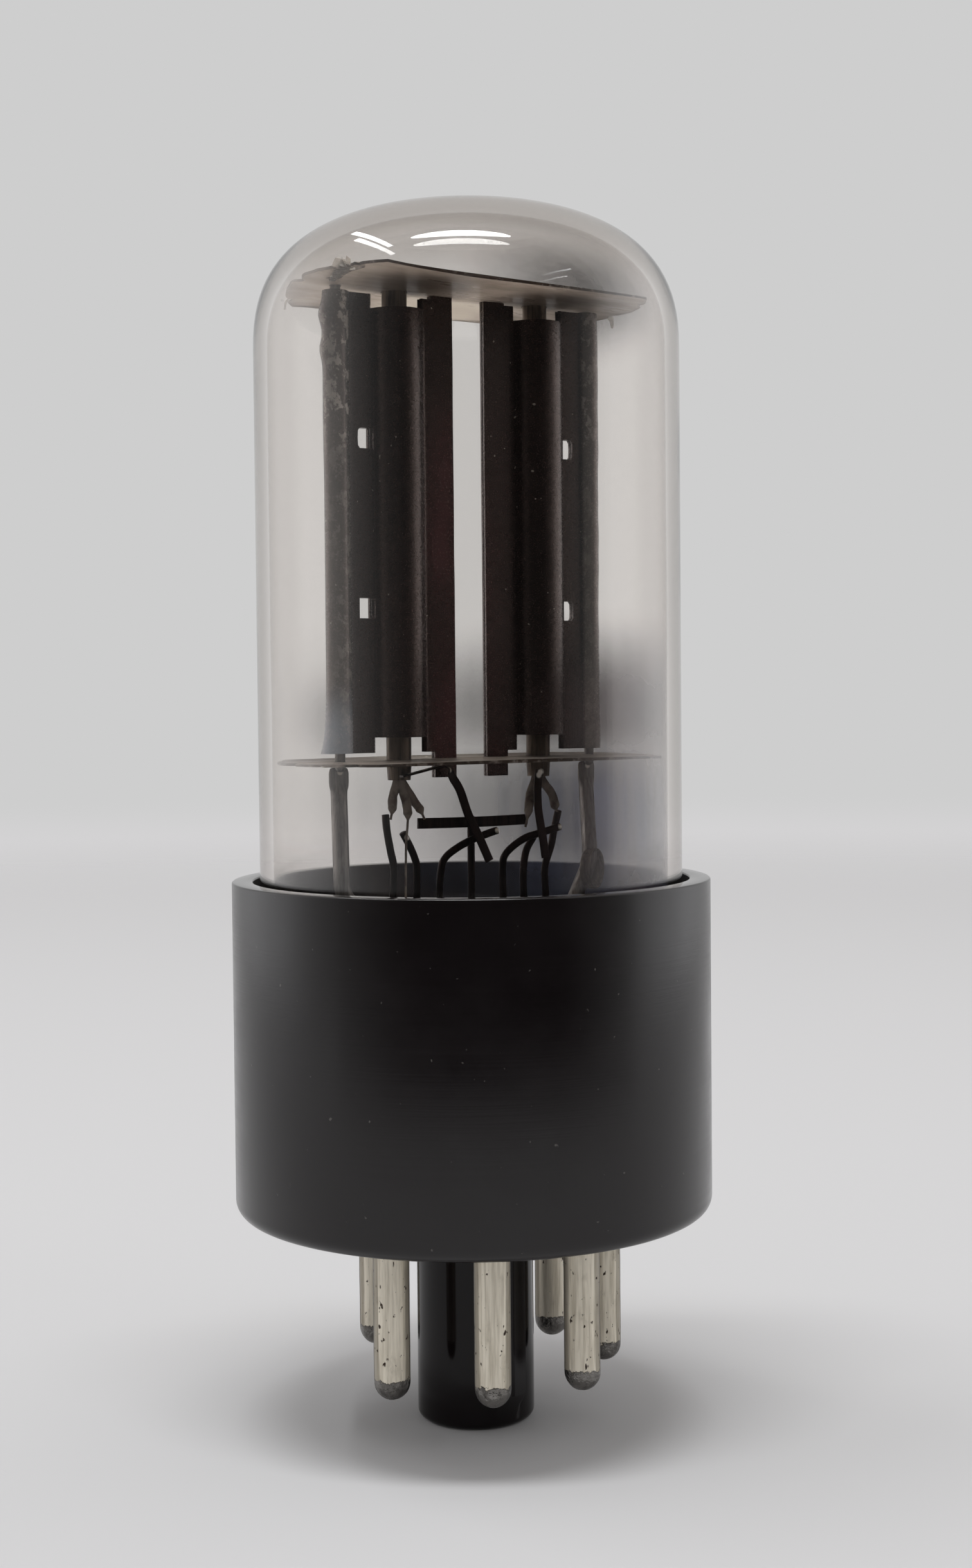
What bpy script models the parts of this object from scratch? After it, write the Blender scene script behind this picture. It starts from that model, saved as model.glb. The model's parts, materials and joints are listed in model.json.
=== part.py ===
"""Glass rectifier tube with an octal base, two half-wave units on one pinch stem.

Metres, +Z up. The tube stands on the foot of its base post, which is the origin. The key on the
post faces -Y and the row of electrodes lies along X. Everything hangs from an empty on the seating
plane, the flat underside of the base, so heights below are measured from that plane.
"""

import math

import bmesh
import bpy
from mathutils import Matrix, Vector

# Space left between pieces that touch, or are sealed together, on the real tube
GAP = 0.0003

# Base moulding
POST_LENGTH = 0.0141
POST_RADIUS = 0.0039
POST_WALL = 0.0011
FOOT_EDGE = 0.0005
KEY_REACH = 0.0010
KEY_WIDTH = 0.0020
KEY_TAPER = 0.0012
BASE_HEIGHT = 0.0220
BASE_WALL = 0.0014
BASE_FLOOR = 0.0022
BASE_EDGE = 0.0010
RIM_EDGE = 0.0003

# Pins
PIN_STEP = math.radians(45)
FIRST_PIN_ANGLE = math.radians(22.5)
PIN_NUMBERS = (1, 2, 3, 4, 5, 7, 8)
WIRED_PINS = (2, 3, 4, 5, 7, 8)
PIN_CIRCLE_RADIUS = 0.008725
PIN_RADIUS = 0.00118
PIN_WALL = 0.0003
PIN_REACH = 0.0109
PIN_HEAD = 0.0006
PIN_HEAD_LIP = 0.0004
PIN_SOLDER = 0.0015

# Glass
GLASS_WALL = 0.0009
BULB_CLEARANCE = 0.00045
DOME_HEIGHT = 0.00959
DOME_POWER = 2.612
SPACER_IN_DOME = 0.432
SEAL_STANDOFF = 0.0028
SHOULDER_HEIGHT = 0.0055
SHOULDER_WIDTH = 0.00411
FLARE_NECK_RADIUS = 0.0062
STEM_HEIGHT = 0.0139
PRESS_HEIGHT = 0.0043
PRESS_HALF_THICKNESS = 0.0017
PRESS_MARGIN = 0.0008
PRESS_EDGE = 0.0003
SOCKET_DEPTH = 0.0012
EXHAUST_RADIUS = 0.0019
EXHAUST_BORE = 0.0009
EXHAUST_ROOM = 0.0040

# Electrode row, worked outwards from the middle of the tube
ANODE_SPACE = 0.00238
INNER_FLANGE = 0.00228
CHANNEL_RADIUS = 0.00185
OUTER_FLANGE = 0.00233
WRAP_RADIUS = 0.0008
SHEET = 0.0002
SHEET_SPACE = 0.0001
BEND_RADIUS = 0.0003
ANODE_HEIGHT = 0.02955
CHANNEL_NOTCH = 0.0010
TAB_INSET = 0.0001
TAB_WIDTH = 0.0013
TAB_REACH = 0.0008
WINDOW_WIDTH = 0.00085
WINDOW_HEIGHT = 0.0013
WINDOW_FROM_END = 0.00933
WINDOW_FROM_CHANNEL = 0.00053
ANODE_ROD_RADIUS = 0.00033
ANODE_ROD_END = 0.0006
CATHODE_RADIUS = 0.00082
CATHODE_WALL = 0.00015
CATHODE_REACH = 0.0012

# Mica spacers
MICA_THICKNESS = 0.0003
MICA_HALF_WIDTH = 0.0074
MICA_MARGIN = 0.00331
CAGE_STANDOFF = 0.01095
TOOTH_SIZE = 0.0009
TOOTH_ANGLES = (-26, -13, 0, 13, 26)
SLIT_WIDTH = 0.0007

# Leads, straps and the getter
LEAD_RADIUS = 0.00025
LEAD_ROW = (-0.0059, -0.0041, -0.00247, 0.0, 0.00247, 0.0041, 0.0059)
SIDE_LEAD_RADIUS = 0.00051
SIDE_LEAD_SWING = 0.0018
SIDE_LEAD_HEAD_WIDTH = 0.00137
SIDE_LEAD_HEAD_DEPTH = 0.0006
SIDE_LEAD_HEAD_LENGTH = 0.0013
LINK_LEVEL = 0.0069
LINK_INSETS = (0.0010, 0.0013)
LEG_SPREAD = 0.00105
LEG_ON_LINK = 0.0003
LINK_WIDTH = 0.0007
RIBBON = 0.00013
STRAP_WIDTH = 0.00053
HEATER_CORE_RADIUS = 0.00036
COATED_RADIUS = 0.00026
HEATER_WIRE_RADIUS = 0.0001
PIN_WIRE_RADIUS = 0.00025
GETTER_RADIUS = 0.0014
GETTER_DEPTH = 0.0008
GETTER_LIP = 0.00025
GETTER_DROP = 0.0033

# Places that follow from the sizes above
CATHODE_PLACE = ANODE_SPACE / 2 + INNER_FLANGE + CHANNEL_RADIUS
ROD_PLACE = CATHODE_PLACE + CHANNEL_RADIUS + OUTER_FLANGE
SIDE_LEAD_ENTRY = ROD_PLACE - SIDE_LEAD_SWING
MICA_RADIUS = ROD_PLACE + MICA_MARGIN
BULB_INNER_RADIUS = MICA_RADIUS + GAP
BULB_RADIUS = BULB_INNER_RADIUS + GLASS_WALL
SEAL_RADIUS = BULB_RADIUS - SHOULDER_WIDTH
BASE_INNER_RADIUS = BULB_RADIUS + BULB_CLEARANCE
BASE_RADIUS = BASE_INNER_RADIUS + BASE_WALL
SEAL_LEVEL = BASE_FLOOR + SEAL_STANDOFF
PRESS_TOP = SEAL_LEVEL + STEM_HEIGHT
EXHAUST_REACH = POST_LENGTH - POST_WALL - EXHAUST_ROOM
PIN_HOLE_RADIUS = PIN_RADIUS + GAP
PIN_HEAD_RADIUS = PIN_HOLE_RADIUS + PIN_HEAD_LIP
PRESS_HALF_WIDTH = SIDE_LEAD_ENTRY + SIDE_LEAD_RADIUS + GAP + PRESS_MARGIN
LOWER_MICA_LEVEL = PRESS_TOP + CAGE_STANDOFF
ANODE_LEVEL = LOWER_MICA_LEVEL + MICA_THICKNESS + GAP
UPPER_MICA_LEVEL = ANODE_LEVEL + ANODE_HEIGHT + GAP
CROWN_LEVEL = UPPER_MICA_LEVEL + MICA_THICKNESS - SPACER_IN_DOME * DOME_HEIGHT
SLEEVE_FOOT = LOWER_MICA_LEVEL - CATHODE_REACH
SLEEVE_TOP = UPPER_MICA_LEVEL + MICA_THICKNESS + CATHODE_REACH
LINK_HEIGHT = PRESS_TOP + LINK_LEVEL
LEAD_FOOT = PRESS_TOP - SOCKET_DEPTH + GAP
FOLD_OFFSET = (SHEET + SHEET_SPACE) / 2

# Facets
ROUND_STEPS = 48
SMALL_STEPS = 16
PIN_STEPS = 12


def clear_scene():
    for obj in list(bpy.data.objects):
        bpy.data.objects.remove(obj, do_unlink=True)


def make_collection(name):
    collection = bpy.data.collections.new(name)
    bpy.context.scene.collection.children.link(collection)
    return collection


def make_material(name, colour, roughness, metallic=0.0, transmission=0.0):
    material = bpy.data.materials.new(name)
    material.use_nodes = True
    shader = material.node_tree.nodes["Principled BSDF"]
    shader.inputs["Base Color"].default_value = (*colour, 1)
    shader.inputs["Roughness"].default_value = roughness
    shader.inputs["Metallic"].default_value = metallic
    shader.inputs["Transmission Weight"].default_value = transmission
    material.diffuse_color = (*colour, 1)
    return material


clear_scene()
TUBE = make_collection("vacuum_tube")
CUTTERS = make_collection("cutters")
SEATING_PLANE = bpy.data.objects.new("seating_plane", None)
SEATING_PLANE.location.z = POST_LENGTH
TUBE.objects.link(SEATING_PLANE)

GLASS = make_material("soda_lime_glass", (0.86, 0.86, 0.84), 0.02, transmission=1.0)
PHENOLIC = make_material("black_phenolic", (0.02, 0.02, 0.02), 0.35)
CEMENT = make_material("basing_cement", (0.35, 0.27, 0.18), 0.9)
TINNED_BRASS = make_material("tinned_brass", (0.6, 0.57, 0.5), 0.35, metallic=1.0)
COPPER_WIRE = make_material("copper_wire", (0.5, 0.25, 0.15), 0.4, metallic=1.0)
NICKEL = make_material("oxidised_nickel", (0.12, 0.09, 0.08), 0.5, metallic=0.8)
NICKEL_ROD = make_material("nickel_rod", (0.25, 0.23, 0.22), 0.4, metallic=1.0)
CARBONISED = make_material("carbonised_nickel", (0.03, 0.026, 0.026), 0.6, metallic=0.3)
SLEEVE_METAL = make_material("cathode_nickel", (0.2, 0.16, 0.12), 0.45, metallic=0.8)
ALUMINA = make_material("alumina_coating", (0.4, 0.36, 0.33), 0.8)
MICA = make_material("mica", (0.55, 0.5, 0.45), 0.3, transmission=0.5)


def add_object(name, data, material, place=(0, 0, 0), spin=0.0):
    """Adds a named piece on the seating plane's empty."""
    obj = bpy.data.objects.new(name, data)
    if not data.materials:
        data.materials.append(material)
    obj.location = place
    obj.rotation_euler.z = spin
    obj.parent = SEATING_PLANE
    TUBE.objects.link(obj)
    return obj


def mesh_from(name, shape):
    mesh = bpy.data.meshes.new(name)
    shape.to_mesh(mesh)
    shape.free()
    return mesh


def add_cutter(name, shape):
    obj = bpy.data.objects.new(name, mesh_from(name, shape))
    obj.parent = SEATING_PLANE
    obj.hide_render = True
    obj.display_type = "WIRE"
    CUTTERS.objects.link(obj)
    return obj


def cut(obj, cutter, operation="DIFFERENCE"):
    modifier = obj.modifiers.new(cutter.name, "BOOLEAN")
    modifier.operation = operation
    modifier.object = cutter
    modifier.solver = "EXACT"


def box(shape, low, high, turn=0.0):
    """Adds a box between two corners, turned about its own middle."""
    corner = bmesh.ops.create_cube(shape, size=1)["verts"]
    size = Vector(high) - Vector(low)
    bmesh.ops.scale(shape, vec=size, verts=corner)
    if turn:
        spin = Matrix.Rotation(turn, 3, "Z")
        bmesh.ops.rotate(shape, cent=(0, 0, 0), verts=corner, matrix=spin)
    bmesh.ops.translate(shape, vec=(Vector(high) + Vector(low)) / 2, verts=corner)
    return corner


def peg(shape, place, radius, low, high, steps=SMALL_STEPS):
    """Adds an upright cylinder between two heights."""
    made = bmesh.ops.create_cone(
        shape, cap_ends=True, segments=steps, radius1=radius, radius2=radius, depth=high - low
    )["verts"]
    bmesh.ops.translate(shape, vec=(place[0], place[1], (low + high) / 2), verts=made)
    return made


def arc(centre_r, centre_z, radius, start, end, steps):
    """Points on an arc in the profile plane, angles in degrees from the outward direction."""
    points = []
    for i in range(steps + 1):
        angle = math.radians(start + (end - start) * i / steps)
        points.append((centre_r + radius * math.cos(angle), centre_z + radius * math.sin(angle)))
    return points


def turned(name, profile, material, steps=ROUND_STEPS, closed=False, place=(0, 0, 0)):
    """A turned piece: its half section, outer side first and downwards, with a Screw modifier."""
    mesh = bpy.data.meshes.new(name)
    count = len(profile)
    edges = [(i, i + 1) for i in range(count - 1)]
    if closed:
        edges.append((count - 1, 0))
    mesh.from_pydata([(r, 0, z) for r, z in profile], edges, [])
    obj = add_object(name, mesh, material, place)
    screw = obj.modifiers.new("turn", "SCREW")
    screw.steps = steps
    screw.render_steps = steps
    screw.use_merge_vertices = True
    screw.merge_threshold = 1e-6
    screw.use_smooth_shade = True
    return obj


def smooth_path(points, per_span=4):
    """A Catmull-Rom curve through the points, so a wire bends the way wire does."""
    path = [Vector(p) for p in points]
    path = [2 * path[0] - path[1]] + path + [2 * path[-1] - path[-2]]
    out = []
    for a, b, c, d in zip(path, path[1:], path[2:], path[3:]):
        for i in range(per_span):
            t = i / per_span
            out.append(
                0.5 * (2 * b + (c - a) * t + (2 * a - 5 * b + 4 * c - d) * t**2)
                + 0.5 * (3 * b - a - 3 * c + d) * t**3
            )
    out.append(path[-2])
    return out


def wire(name, points, radius, material, scales=None):
    """A round wire along points. scales thins it point by point."""
    curve = bpy.data.curves.new(name, "CURVE")
    curve.dimensions = "3D"
    curve.bevel_depth = radius
    curve.bevel_resolution = 2
    curve.use_fill_caps = True
    spline = curve.splines.new("POLY")
    spline.points.add(len(points) - 1)
    for i, (target, point) in enumerate(zip(spline.points, points)):
        target.co = (*point, 1)
        target.radius = scales[i] if scales else 1
    spline.use_smooth = True
    return add_object(name, curve, material)


def as_mesh_object(obj, keep_material):
    """Turns a curve or a modified mesh into a plain mesh object of the same name."""
    bpy.context.view_layer.update()
    graph = bpy.context.evaluated_depsgraph_get()
    mesh = bpy.data.meshes.new_from_object(obj.evaluated_get(graph), depsgraph=graph)
    shape = bmesh.new()
    shape.from_mesh(mesh)
    bmesh.ops.remove_doubles(shape, verts=shape.verts, dist=1e-6)
    shape.to_mesh(mesh)
    shape.free()
    name = obj.name
    place, spin = tuple(obj.location), obj.rotation_euler.z
    bpy.data.objects.remove(obj, do_unlink=True)
    if not mesh.materials:
        mesh.materials.append(keep_material)
    return add_object(name, mesh, keep_material, place, spin)


def pin_direction(number):
    """Unit vector from the axis to a pin, counted counter-clockwise from the key seen from above."""
    angle = FIRST_PIN_ANGLE + (number - 1) * PIN_STEP
    return Vector((math.sin(angle), -math.cos(angle), 0))


def dome_curve(radius, height, level, steps=9):
    """The bulb's crown: a squarish ellipse from its top to where the straight wall begins."""
    points = []
    for i in range(steps + 1):
        angle = math.pi / 2 * (1 - i / steps)
        r = radius * max(math.cos(angle), 0) ** (2 / DOME_POWER)
        z = level + height * math.sin(angle) ** (2 / DOME_POWER)
        points.append((0.0 if i == 0 else r, z))
    return points


def shoulder_curve(offset, start, end, steps):
    """The bulb's rounded lower edge, moved outwards by offset, angles in degrees from the seal."""
    reach = BULB_RADIUS - SEAL_RADIUS
    points = []
    for i in range(steps + 1):
        angle = math.radians(start + (end - start) * i / steps)
        normal = Vector((math.sin(angle) * SHOULDER_HEIGHT, -math.cos(angle) * reach)).normalized()
        r = SEAL_RADIUS + reach * math.sin(angle)
        z = SEAL_LEVEL + SHOULDER_HEIGHT * (1 - math.cos(angle))
        points.append((r + normal.x * offset, z + normal.y * offset))
    return points


def build_bulb():
    """Blown envelope: crown, straight wall and a rounded lower edge down to the open seal."""
    outer = dome_curve(BULB_RADIUS, DOME_HEIGHT, CROWN_LEVEL)
    outer += reversed(shoulder_curve(0, 0, 90, 6))
    inner = shoulder_curve(-GLASS_WALL, 0, 90, 6)
    inner[0] = (SEAL_RADIUS - GLASS_WALL, SEAL_LEVEL)
    inner += reversed(dome_curve(BULB_INNER_RADIUS, DOME_HEIGHT - GLASS_WALL, CROWN_LEVEL))
    turned("glass_bulb", outer + inner, GLASS)


def ring(shape, half_width, half_depth, power, level, steps=32):
    """A ring of points between a circle (power 2) and a rounded rectangle (higher power)."""
    made = []
    for i in range(steps):
        angle = 2 * math.pi * i / steps
        c, s = math.cos(angle), math.sin(angle)
        x = half_width * math.copysign(abs(c) ** (2 / power), c)
        y = half_depth * math.copysign(abs(s) ** (2 / power), s)
        made.append(shape.verts.new((x, y, level)))
    return made


def loft(shape, rings):
    """Closed skin through rings that each hold the same number of points, capped at both ends."""
    for low, high in zip(rings, rings[1:]):
        for i in range(len(low)):
            j = (i + 1) % len(low)
            shape.faces.new((low[i], low[j], high[j], high[i]))
    shape.faces.new(list(reversed(rings[0])))
    shape.faces.new(rings[-1])
    bmesh.ops.recalc_face_normals(shape, faces=shape.faces)


def build_stem():
    """Flare, neck, pinch press and exhaust tube in one glass piece, lofted from press to tube."""
    press_foot = PRESS_TOP - PRESS_HEIGHT
    neck = FLARE_NECK_RADIUS
    bore = neck - GLASS_WALL
    rim = SEAL_RADIUS - GLASS_WALL - GAP
    neck_level = SEAL_LEVEL + (press_foot - SEAL_LEVEL) * 0.5
    roof = press_foot - 2 * GLASS_WALL
    rise = neck_level - SEAL_LEVEL
    shape = bmesh.new()
    rings = [ring(shape, PRESS_HALF_WIDTH - PRESS_EDGE, PRESS_HALF_THICKNESS - PRESS_EDGE, 5, PRESS_TOP)]
    rings.append(ring(shape, PRESS_HALF_WIDTH, PRESS_HALF_THICKNESS, 5, PRESS_TOP - PRESS_EDGE))
    rings.append(ring(shape, PRESS_HALF_WIDTH, PRESS_HALF_THICKNESS, 5, press_foot))
    waist = (PRESS_HALF_WIDTH + neck) / 2
    middle = (press_foot + neck_level) / 2
    rings.append(ring(shape, waist, (PRESS_HALF_THICKNESS + neck) / 2, 2.4, middle))
    rings.append(ring(shape, neck, neck, 2, neck_level))
    for share in (0.7, 0.9, 1.0):
        swell = (rim - neck) * share**4
        rings.append(ring(shape, neck + swell, neck + swell, 2, neck_level - rise * share))
    for share in (1.0, 0.85, 0.6):
        swell = (rim - neck) * share**4
        rings.append(ring(shape, bore + swell, bore + swell, 2, neck_level - rise * share))
    rings.append(ring(shape, bore, bore, 2, neck_level))
    tube = EXHAUST_RADIUS
    rings.append(ring(shape, bore, (bore + tube) / 2, 2.2, roof))
    rings.append(ring(shape, tube, tube, 2, roof - GAP))
    rings.append(ring(shape, tube, tube, 2, tube - EXHAUST_REACH))
    rings.append(ring(shape, tube * 0.75, tube * 0.75, 2, tube * 0.35 - EXHAUST_REACH))
    rings.append(ring(shape, tube * 0.2, tube * 0.2, 2, -EXHAUST_REACH))
    loft(shape, rings)
    stem = add_object("glass_stem", mesh_from("glass_stem", shape), GLASS)

    shape = bmesh.new()
    for place in LEAD_ROW:
        peg(shape, (place, 0), LEAD_RADIUS + GAP, PRESS_TOP - SOCKET_DEPTH, PRESS_TOP + GAP, 12)
    for side in (-1, 1):
        place = side * SIDE_LEAD_ENTRY
        peg(shape, (place, 0), SIDE_LEAD_RADIUS + GAP, PRESS_TOP - SOCKET_DEPTH, PRESS_TOP + GAP, 12)
    cut(stem, add_cutter("lead_sockets", shape))

    shape = bmesh.new()
    peg(shape, (0, 0), EXHAUST_BORE, 2 * EXHAUST_BORE - EXHAUST_REACH, press_foot, 12)
    cut(stem, add_cutter("exhaust_bore", shape))
    shape = bmesh.new()
    port = bmesh.ops.create_cone(
        shape, cap_ends=True, segments=12, radius1=EXHAUST_BORE * 0.8, radius2=EXHAUST_BORE * 0.8,
        depth=2 * neck,
    )["verts"]
    bmesh.ops.rotate(shape, cent=(0, 0, 0), verts=port, matrix=Matrix.Rotation(math.pi / 2, 3, "X"))
    bmesh.ops.translate(shape, vec=(0, -neck, press_foot - EXHAUST_BORE), verts=port)
    cut(stem, add_cutter("exhaust_port", shape))


def build_base():
    """One moulding: shell, floor and hollow post with its key."""
    foot = -POST_LENGTH
    outer = [(0, foot)]
    outer += arc(POST_RADIUS - FOOT_EDGE, foot + FOOT_EDGE, FOOT_EDGE, -90, 0, 4)
    outer.append((POST_RADIUS, 0))
    outer += arc(BASE_RADIUS - BASE_EDGE, BASE_EDGE, BASE_EDGE, -90, 0, 5)
    outer += arc(BASE_RADIUS - RIM_EDGE, BASE_HEIGHT - RIM_EDGE, RIM_EDGE, 0, 90, 2)
    inner = arc(BASE_INNER_RADIUS + RIM_EDGE, BASE_HEIGHT - RIM_EDGE, RIM_EDGE, 90, 180, 2)
    inner += [(BASE_INNER_RADIUS, BASE_FLOOR), (POST_RADIUS - POST_WALL, BASE_FLOOR)]
    inner += [(POST_RADIUS - POST_WALL, foot + POST_WALL), (0, foot + POST_WALL)]
    profile = outer + inner
    shell = turned("base_shell", list(reversed(profile)), PHENOLIC)

    shape = bmesh.new()
    low = (-KEY_WIDTH / 2, -POST_RADIUS - KEY_REACH, foot + FOOT_EDGE)
    corners = box(shape, low, (KEY_WIDTH / 2, -POST_RADIUS + POST_WALL / 2, BASE_FLOOR / 2))
    for corner in corners:
        if corner.co.z < 0 and corner.co.y < -POST_RADIUS:
            corner.co.z += KEY_TAPER
    cut(shell, add_cutter("post_key", shape), "UNION")

    shape = bmesh.new()
    for number in PIN_NUMBERS:
        place = pin_direction(number) * PIN_CIRCLE_RADIUS
        peg(shape, place, PIN_HOLE_RADIUS, -GAP, BASE_FLOOR + GAP)
    cut(shell, add_cutter("pin_holes", shape))


def build_cement():
    """Cement between the shell and the bulb's rounded lower edge."""
    outer_radius = BASE_INNER_RADIUS - GAP
    low = BASE_FLOOR + GAP
    inside = PIN_CIRCLE_RADIUS + PIN_HEAD_RADIUS + GAP
    start = math.degrees(math.asin((inside - SEAL_RADIUS) / (BULB_RADIUS - SEAL_RADIUS)))
    under = shoulder_curve(GAP, start, 68, 6)
    profile = [(outer_radius, under[-1][1]), (outer_radius, low), (inside, low)] + under
    turned("base_cement", profile, CEMENT, closed=True)


def build_pins():
    """Hollow pins, closed by solder at the tip and held by a lip over the base floor."""
    lip = BASE_FLOOR + GAP
    top = lip + PIN_HEAD
    bore = PIN_RADIUS - PIN_WALL
    profile = [(PIN_HEAD_RADIUS, top), (PIN_HEAD_RADIUS, lip), (PIN_RADIUS, lip)]
    profile += arc(0, PIN_RADIUS - PIN_REACH, PIN_RADIUS, 0, -90, 4)[:-1]
    profile += [(0, -PIN_REACH), (0, PIN_SOLDER - PIN_REACH)]
    profile += [(bore, PIN_SOLDER - PIN_REACH), (bore, top)]
    shared = None
    for number in PIN_NUMBERS:
        place = pin_direction(number) * PIN_CIRCLE_RADIUS
        pin = turned(f"pin_{number}", profile, TINNED_BRASS, PIN_STEPS, closed=True, place=place)
        shared = shared or pin.data
        pin.data = shared


def build_pin_wires():
    """Wires from under the press, out through the flare and down into the pins."""
    press_foot = PRESS_TOP - PRESS_HEIGHT
    roof = press_foot - 2 * GLASS_WALL - GAP
    inside = (EXHAUST_RADIUS + FLARE_NECK_RADIUS - GLASS_WALL) / 2
    over_pin = (BASE_FLOOR + PIN_HEAD + SEAL_LEVEL) / 2
    for number in WIRED_PINS:
        out = pin_direction(number)
        end = out * PIN_CIRCLE_RADIUS
        start = out * inside
        route = [
            start + Vector((0, 0, roof - 4 * GAP)),
            start + Vector((0, 0, SEAL_LEVEL)),
            start.lerp(end, 0.35) + Vector((0, 0, over_pin)),
            start.lerp(end, 0.85) + Vector((0, 0, over_pin - GAP)),
            end + Vector((0, 0, BASE_FLOOR)),
            end + Vector((0, 0, PIN_SOLDER - PIN_REACH + GAP)),
        ]
        wire(f"pin_wire_{number}", smooth_path(route, 3), PIN_WIRE_RADIUS, COPPER_WIRE)


def fold_corner(before, corner, after, radius, steps=2):
    """Rounds one corner of a folded sheet's centre line."""
    a, b, c = (Vector(p) for p in (before, corner, after))
    into, away = (a - b).normalized(), (c - b).normalized()
    reach = min(radius, (a - b).length * 0.45, (c - b).length * 0.45)
    start, end = b + into * reach, b + away * reach
    return [
        tuple(start.lerp(b, t).lerp(b.lerp(end, t), t)) for t in (i / steps for i in range(steps + 1))
    ]


def anode_centre_line():
    """Centre line of the folded sheet seen from above, for the unit at +X: front, wrap, back."""
    channel = CHANNEL_RADIUS - SHEET / 2
    wrap = WRAP_RADIUS - SHEET / 2
    channel_half = math.sqrt(channel**2 - FOLD_OFFSET**2)
    wrap_half = math.sqrt(wrap**2 - FOLD_OFFSET**2)
    edge = ANODE_SPACE / 2
    front = [(edge, -FOLD_OFFSET)]
    knee = (CATHODE_PLACE - channel_half, -FOLD_OFFSET)
    bulge = arc(CATHODE_PLACE, 0, channel, 200, 340, 8)
    front += fold_corner(front[-1], knee, bulge[0], BEND_RADIUS)
    front += bulge
    knee = (CATHODE_PLACE + channel_half, -FOLD_OFFSET)
    neck = (ROD_PLACE - wrap_half, -FOLD_OFFSET)
    front += fold_corner(bulge[-1], knee, neck, BEND_RADIUS)
    roll = arc(ROD_PLACE, 0, wrap, 215, 360, 6)
    front += fold_corner(front[-1], neck, roll[0], BEND_RADIUS)
    front += roll
    back = [(x, -y) for x, y in reversed(front[:-1])]
    return front + back


def build_anodes():
    """Each anode is one sheet folded round its rod, its two leaves parted round the cathode."""
    tab_room = TAB_REACH + MICA_THICKNESS + 2 * GAP
    low, high = ANODE_LEVEL - tab_room, ANODE_LEVEL + ANODE_HEIGHT + tab_room
    line = anode_centre_line()
    mesh = bpy.data.meshes.new("anode_right")
    count = len(line)
    points = [(x, y, z) for z in (low, high) for x, y in line]
    faces = [(i, i + 1, count + i + 1, count + i) for i in range(count - 1)]
    mesh.from_pydata(points, [], faces)
    anode = add_object("anode_right", mesh, CARBONISED)
    sheet = anode.modifiers.new("sheet", "SOLIDIFY")
    sheet.thickness = SHEET
    sheet.offset = 0
    sheet.use_even_offset = True

    past = ROD_PLACE + 2 * WRAP_RADIUS
    deep = 2 * CHANNEL_RADIUS
    tab_start = ANODE_SPACE / 2 + TAB_INSET
    tab_end = tab_start + TAB_WIDTH
    ends = ((low - GAP, ANODE_LEVEL), (ANODE_LEVEL + ANODE_HEIGHT, high + GAP))
    shape = bmesh.new()
    for bottom, top in ends:
        box(shape, (tab_end, -deep, bottom), (past, deep, top))
        box(shape, (0, -deep, bottom), (tab_start, deep, top))
    cut(anode, add_cutter("anode_ends", shape))

    shape = bmesh.new()
    for end, inward in ((ANODE_LEVEL, 1), (ANODE_LEVEL + ANODE_HEIGHT, -1)):
        edges = sorted((end - inward * GAP, end + inward * CHANNEL_NOTCH))
        left, right = CATHODE_PLACE - CHANNEL_RADIUS, CATHODE_PLACE + CHANNEL_RADIUS
        box(shape, (left, -deep, edges[0]), (right, deep, edges[1]))
    cut(anode, add_cutter("channel_notches", shape))

    shape = bmesh.new()
    window = CATHODE_PLACE + CHANNEL_RADIUS + WINDOW_FROM_CHANNEL
    for level in (ANODE_LEVEL + WINDOW_FROM_END, ANODE_LEVEL + ANODE_HEIGHT - WINDOW_FROM_END):
        low_corner = (window - WINDOW_WIDTH / 2, -deep, level - WINDOW_HEIGHT / 2)
        box(shape, low_corner, (window + WINDOW_WIDTH / 2, deep, level + WINDOW_HEIGHT / 2))
    cut(anode, add_cutter("anode_windows", shape))

    right = as_mesh_object(anode, CARBONISED)
    add_object("anode_left", right.data, CARBONISED, spin=math.pi)


def build_anode_rods():
    """The straight rod inside each anode's wrap, through both spacers."""
    low = LOWER_MICA_LEVEL - ANODE_ROD_END
    high = UPPER_MICA_LEVEL + MICA_THICKNESS + ANODE_ROD_END
    for name, side in (("left", -1), ("right", 1)):
        profile = [(0, high)] + [(ANODE_ROD_RADIUS, high - ANODE_ROD_RADIUS / 2)]
        profile += [(ANODE_ROD_RADIUS, low + ANODE_ROD_RADIUS / 2), (0, low)]
        place = (side * ROD_PLACE, 0, 0)
        turned(f"anode_rod_{name}", profile, NICKEL_ROD, SMALL_STEPS, place=place)


def build_cathodes():
    """Nickel sleeves through both spacers, open at both ends."""
    bore = CATHODE_RADIUS - CATHODE_WALL
    profile = [(CATHODE_RADIUS, SLEEVE_TOP), (CATHODE_RADIUS, SLEEVE_FOOT)]
    profile += [(bore, SLEEVE_FOOT), (bore, SLEEVE_TOP)]
    for name, side in (("left", -1), ("right", 1)):
        place = (side * CATHODE_PLACE, 0, 0)
        turned(f"cathode_{name}", profile, SLEEVE_METAL, SMALL_STEPS, closed=True, place=place)


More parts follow.
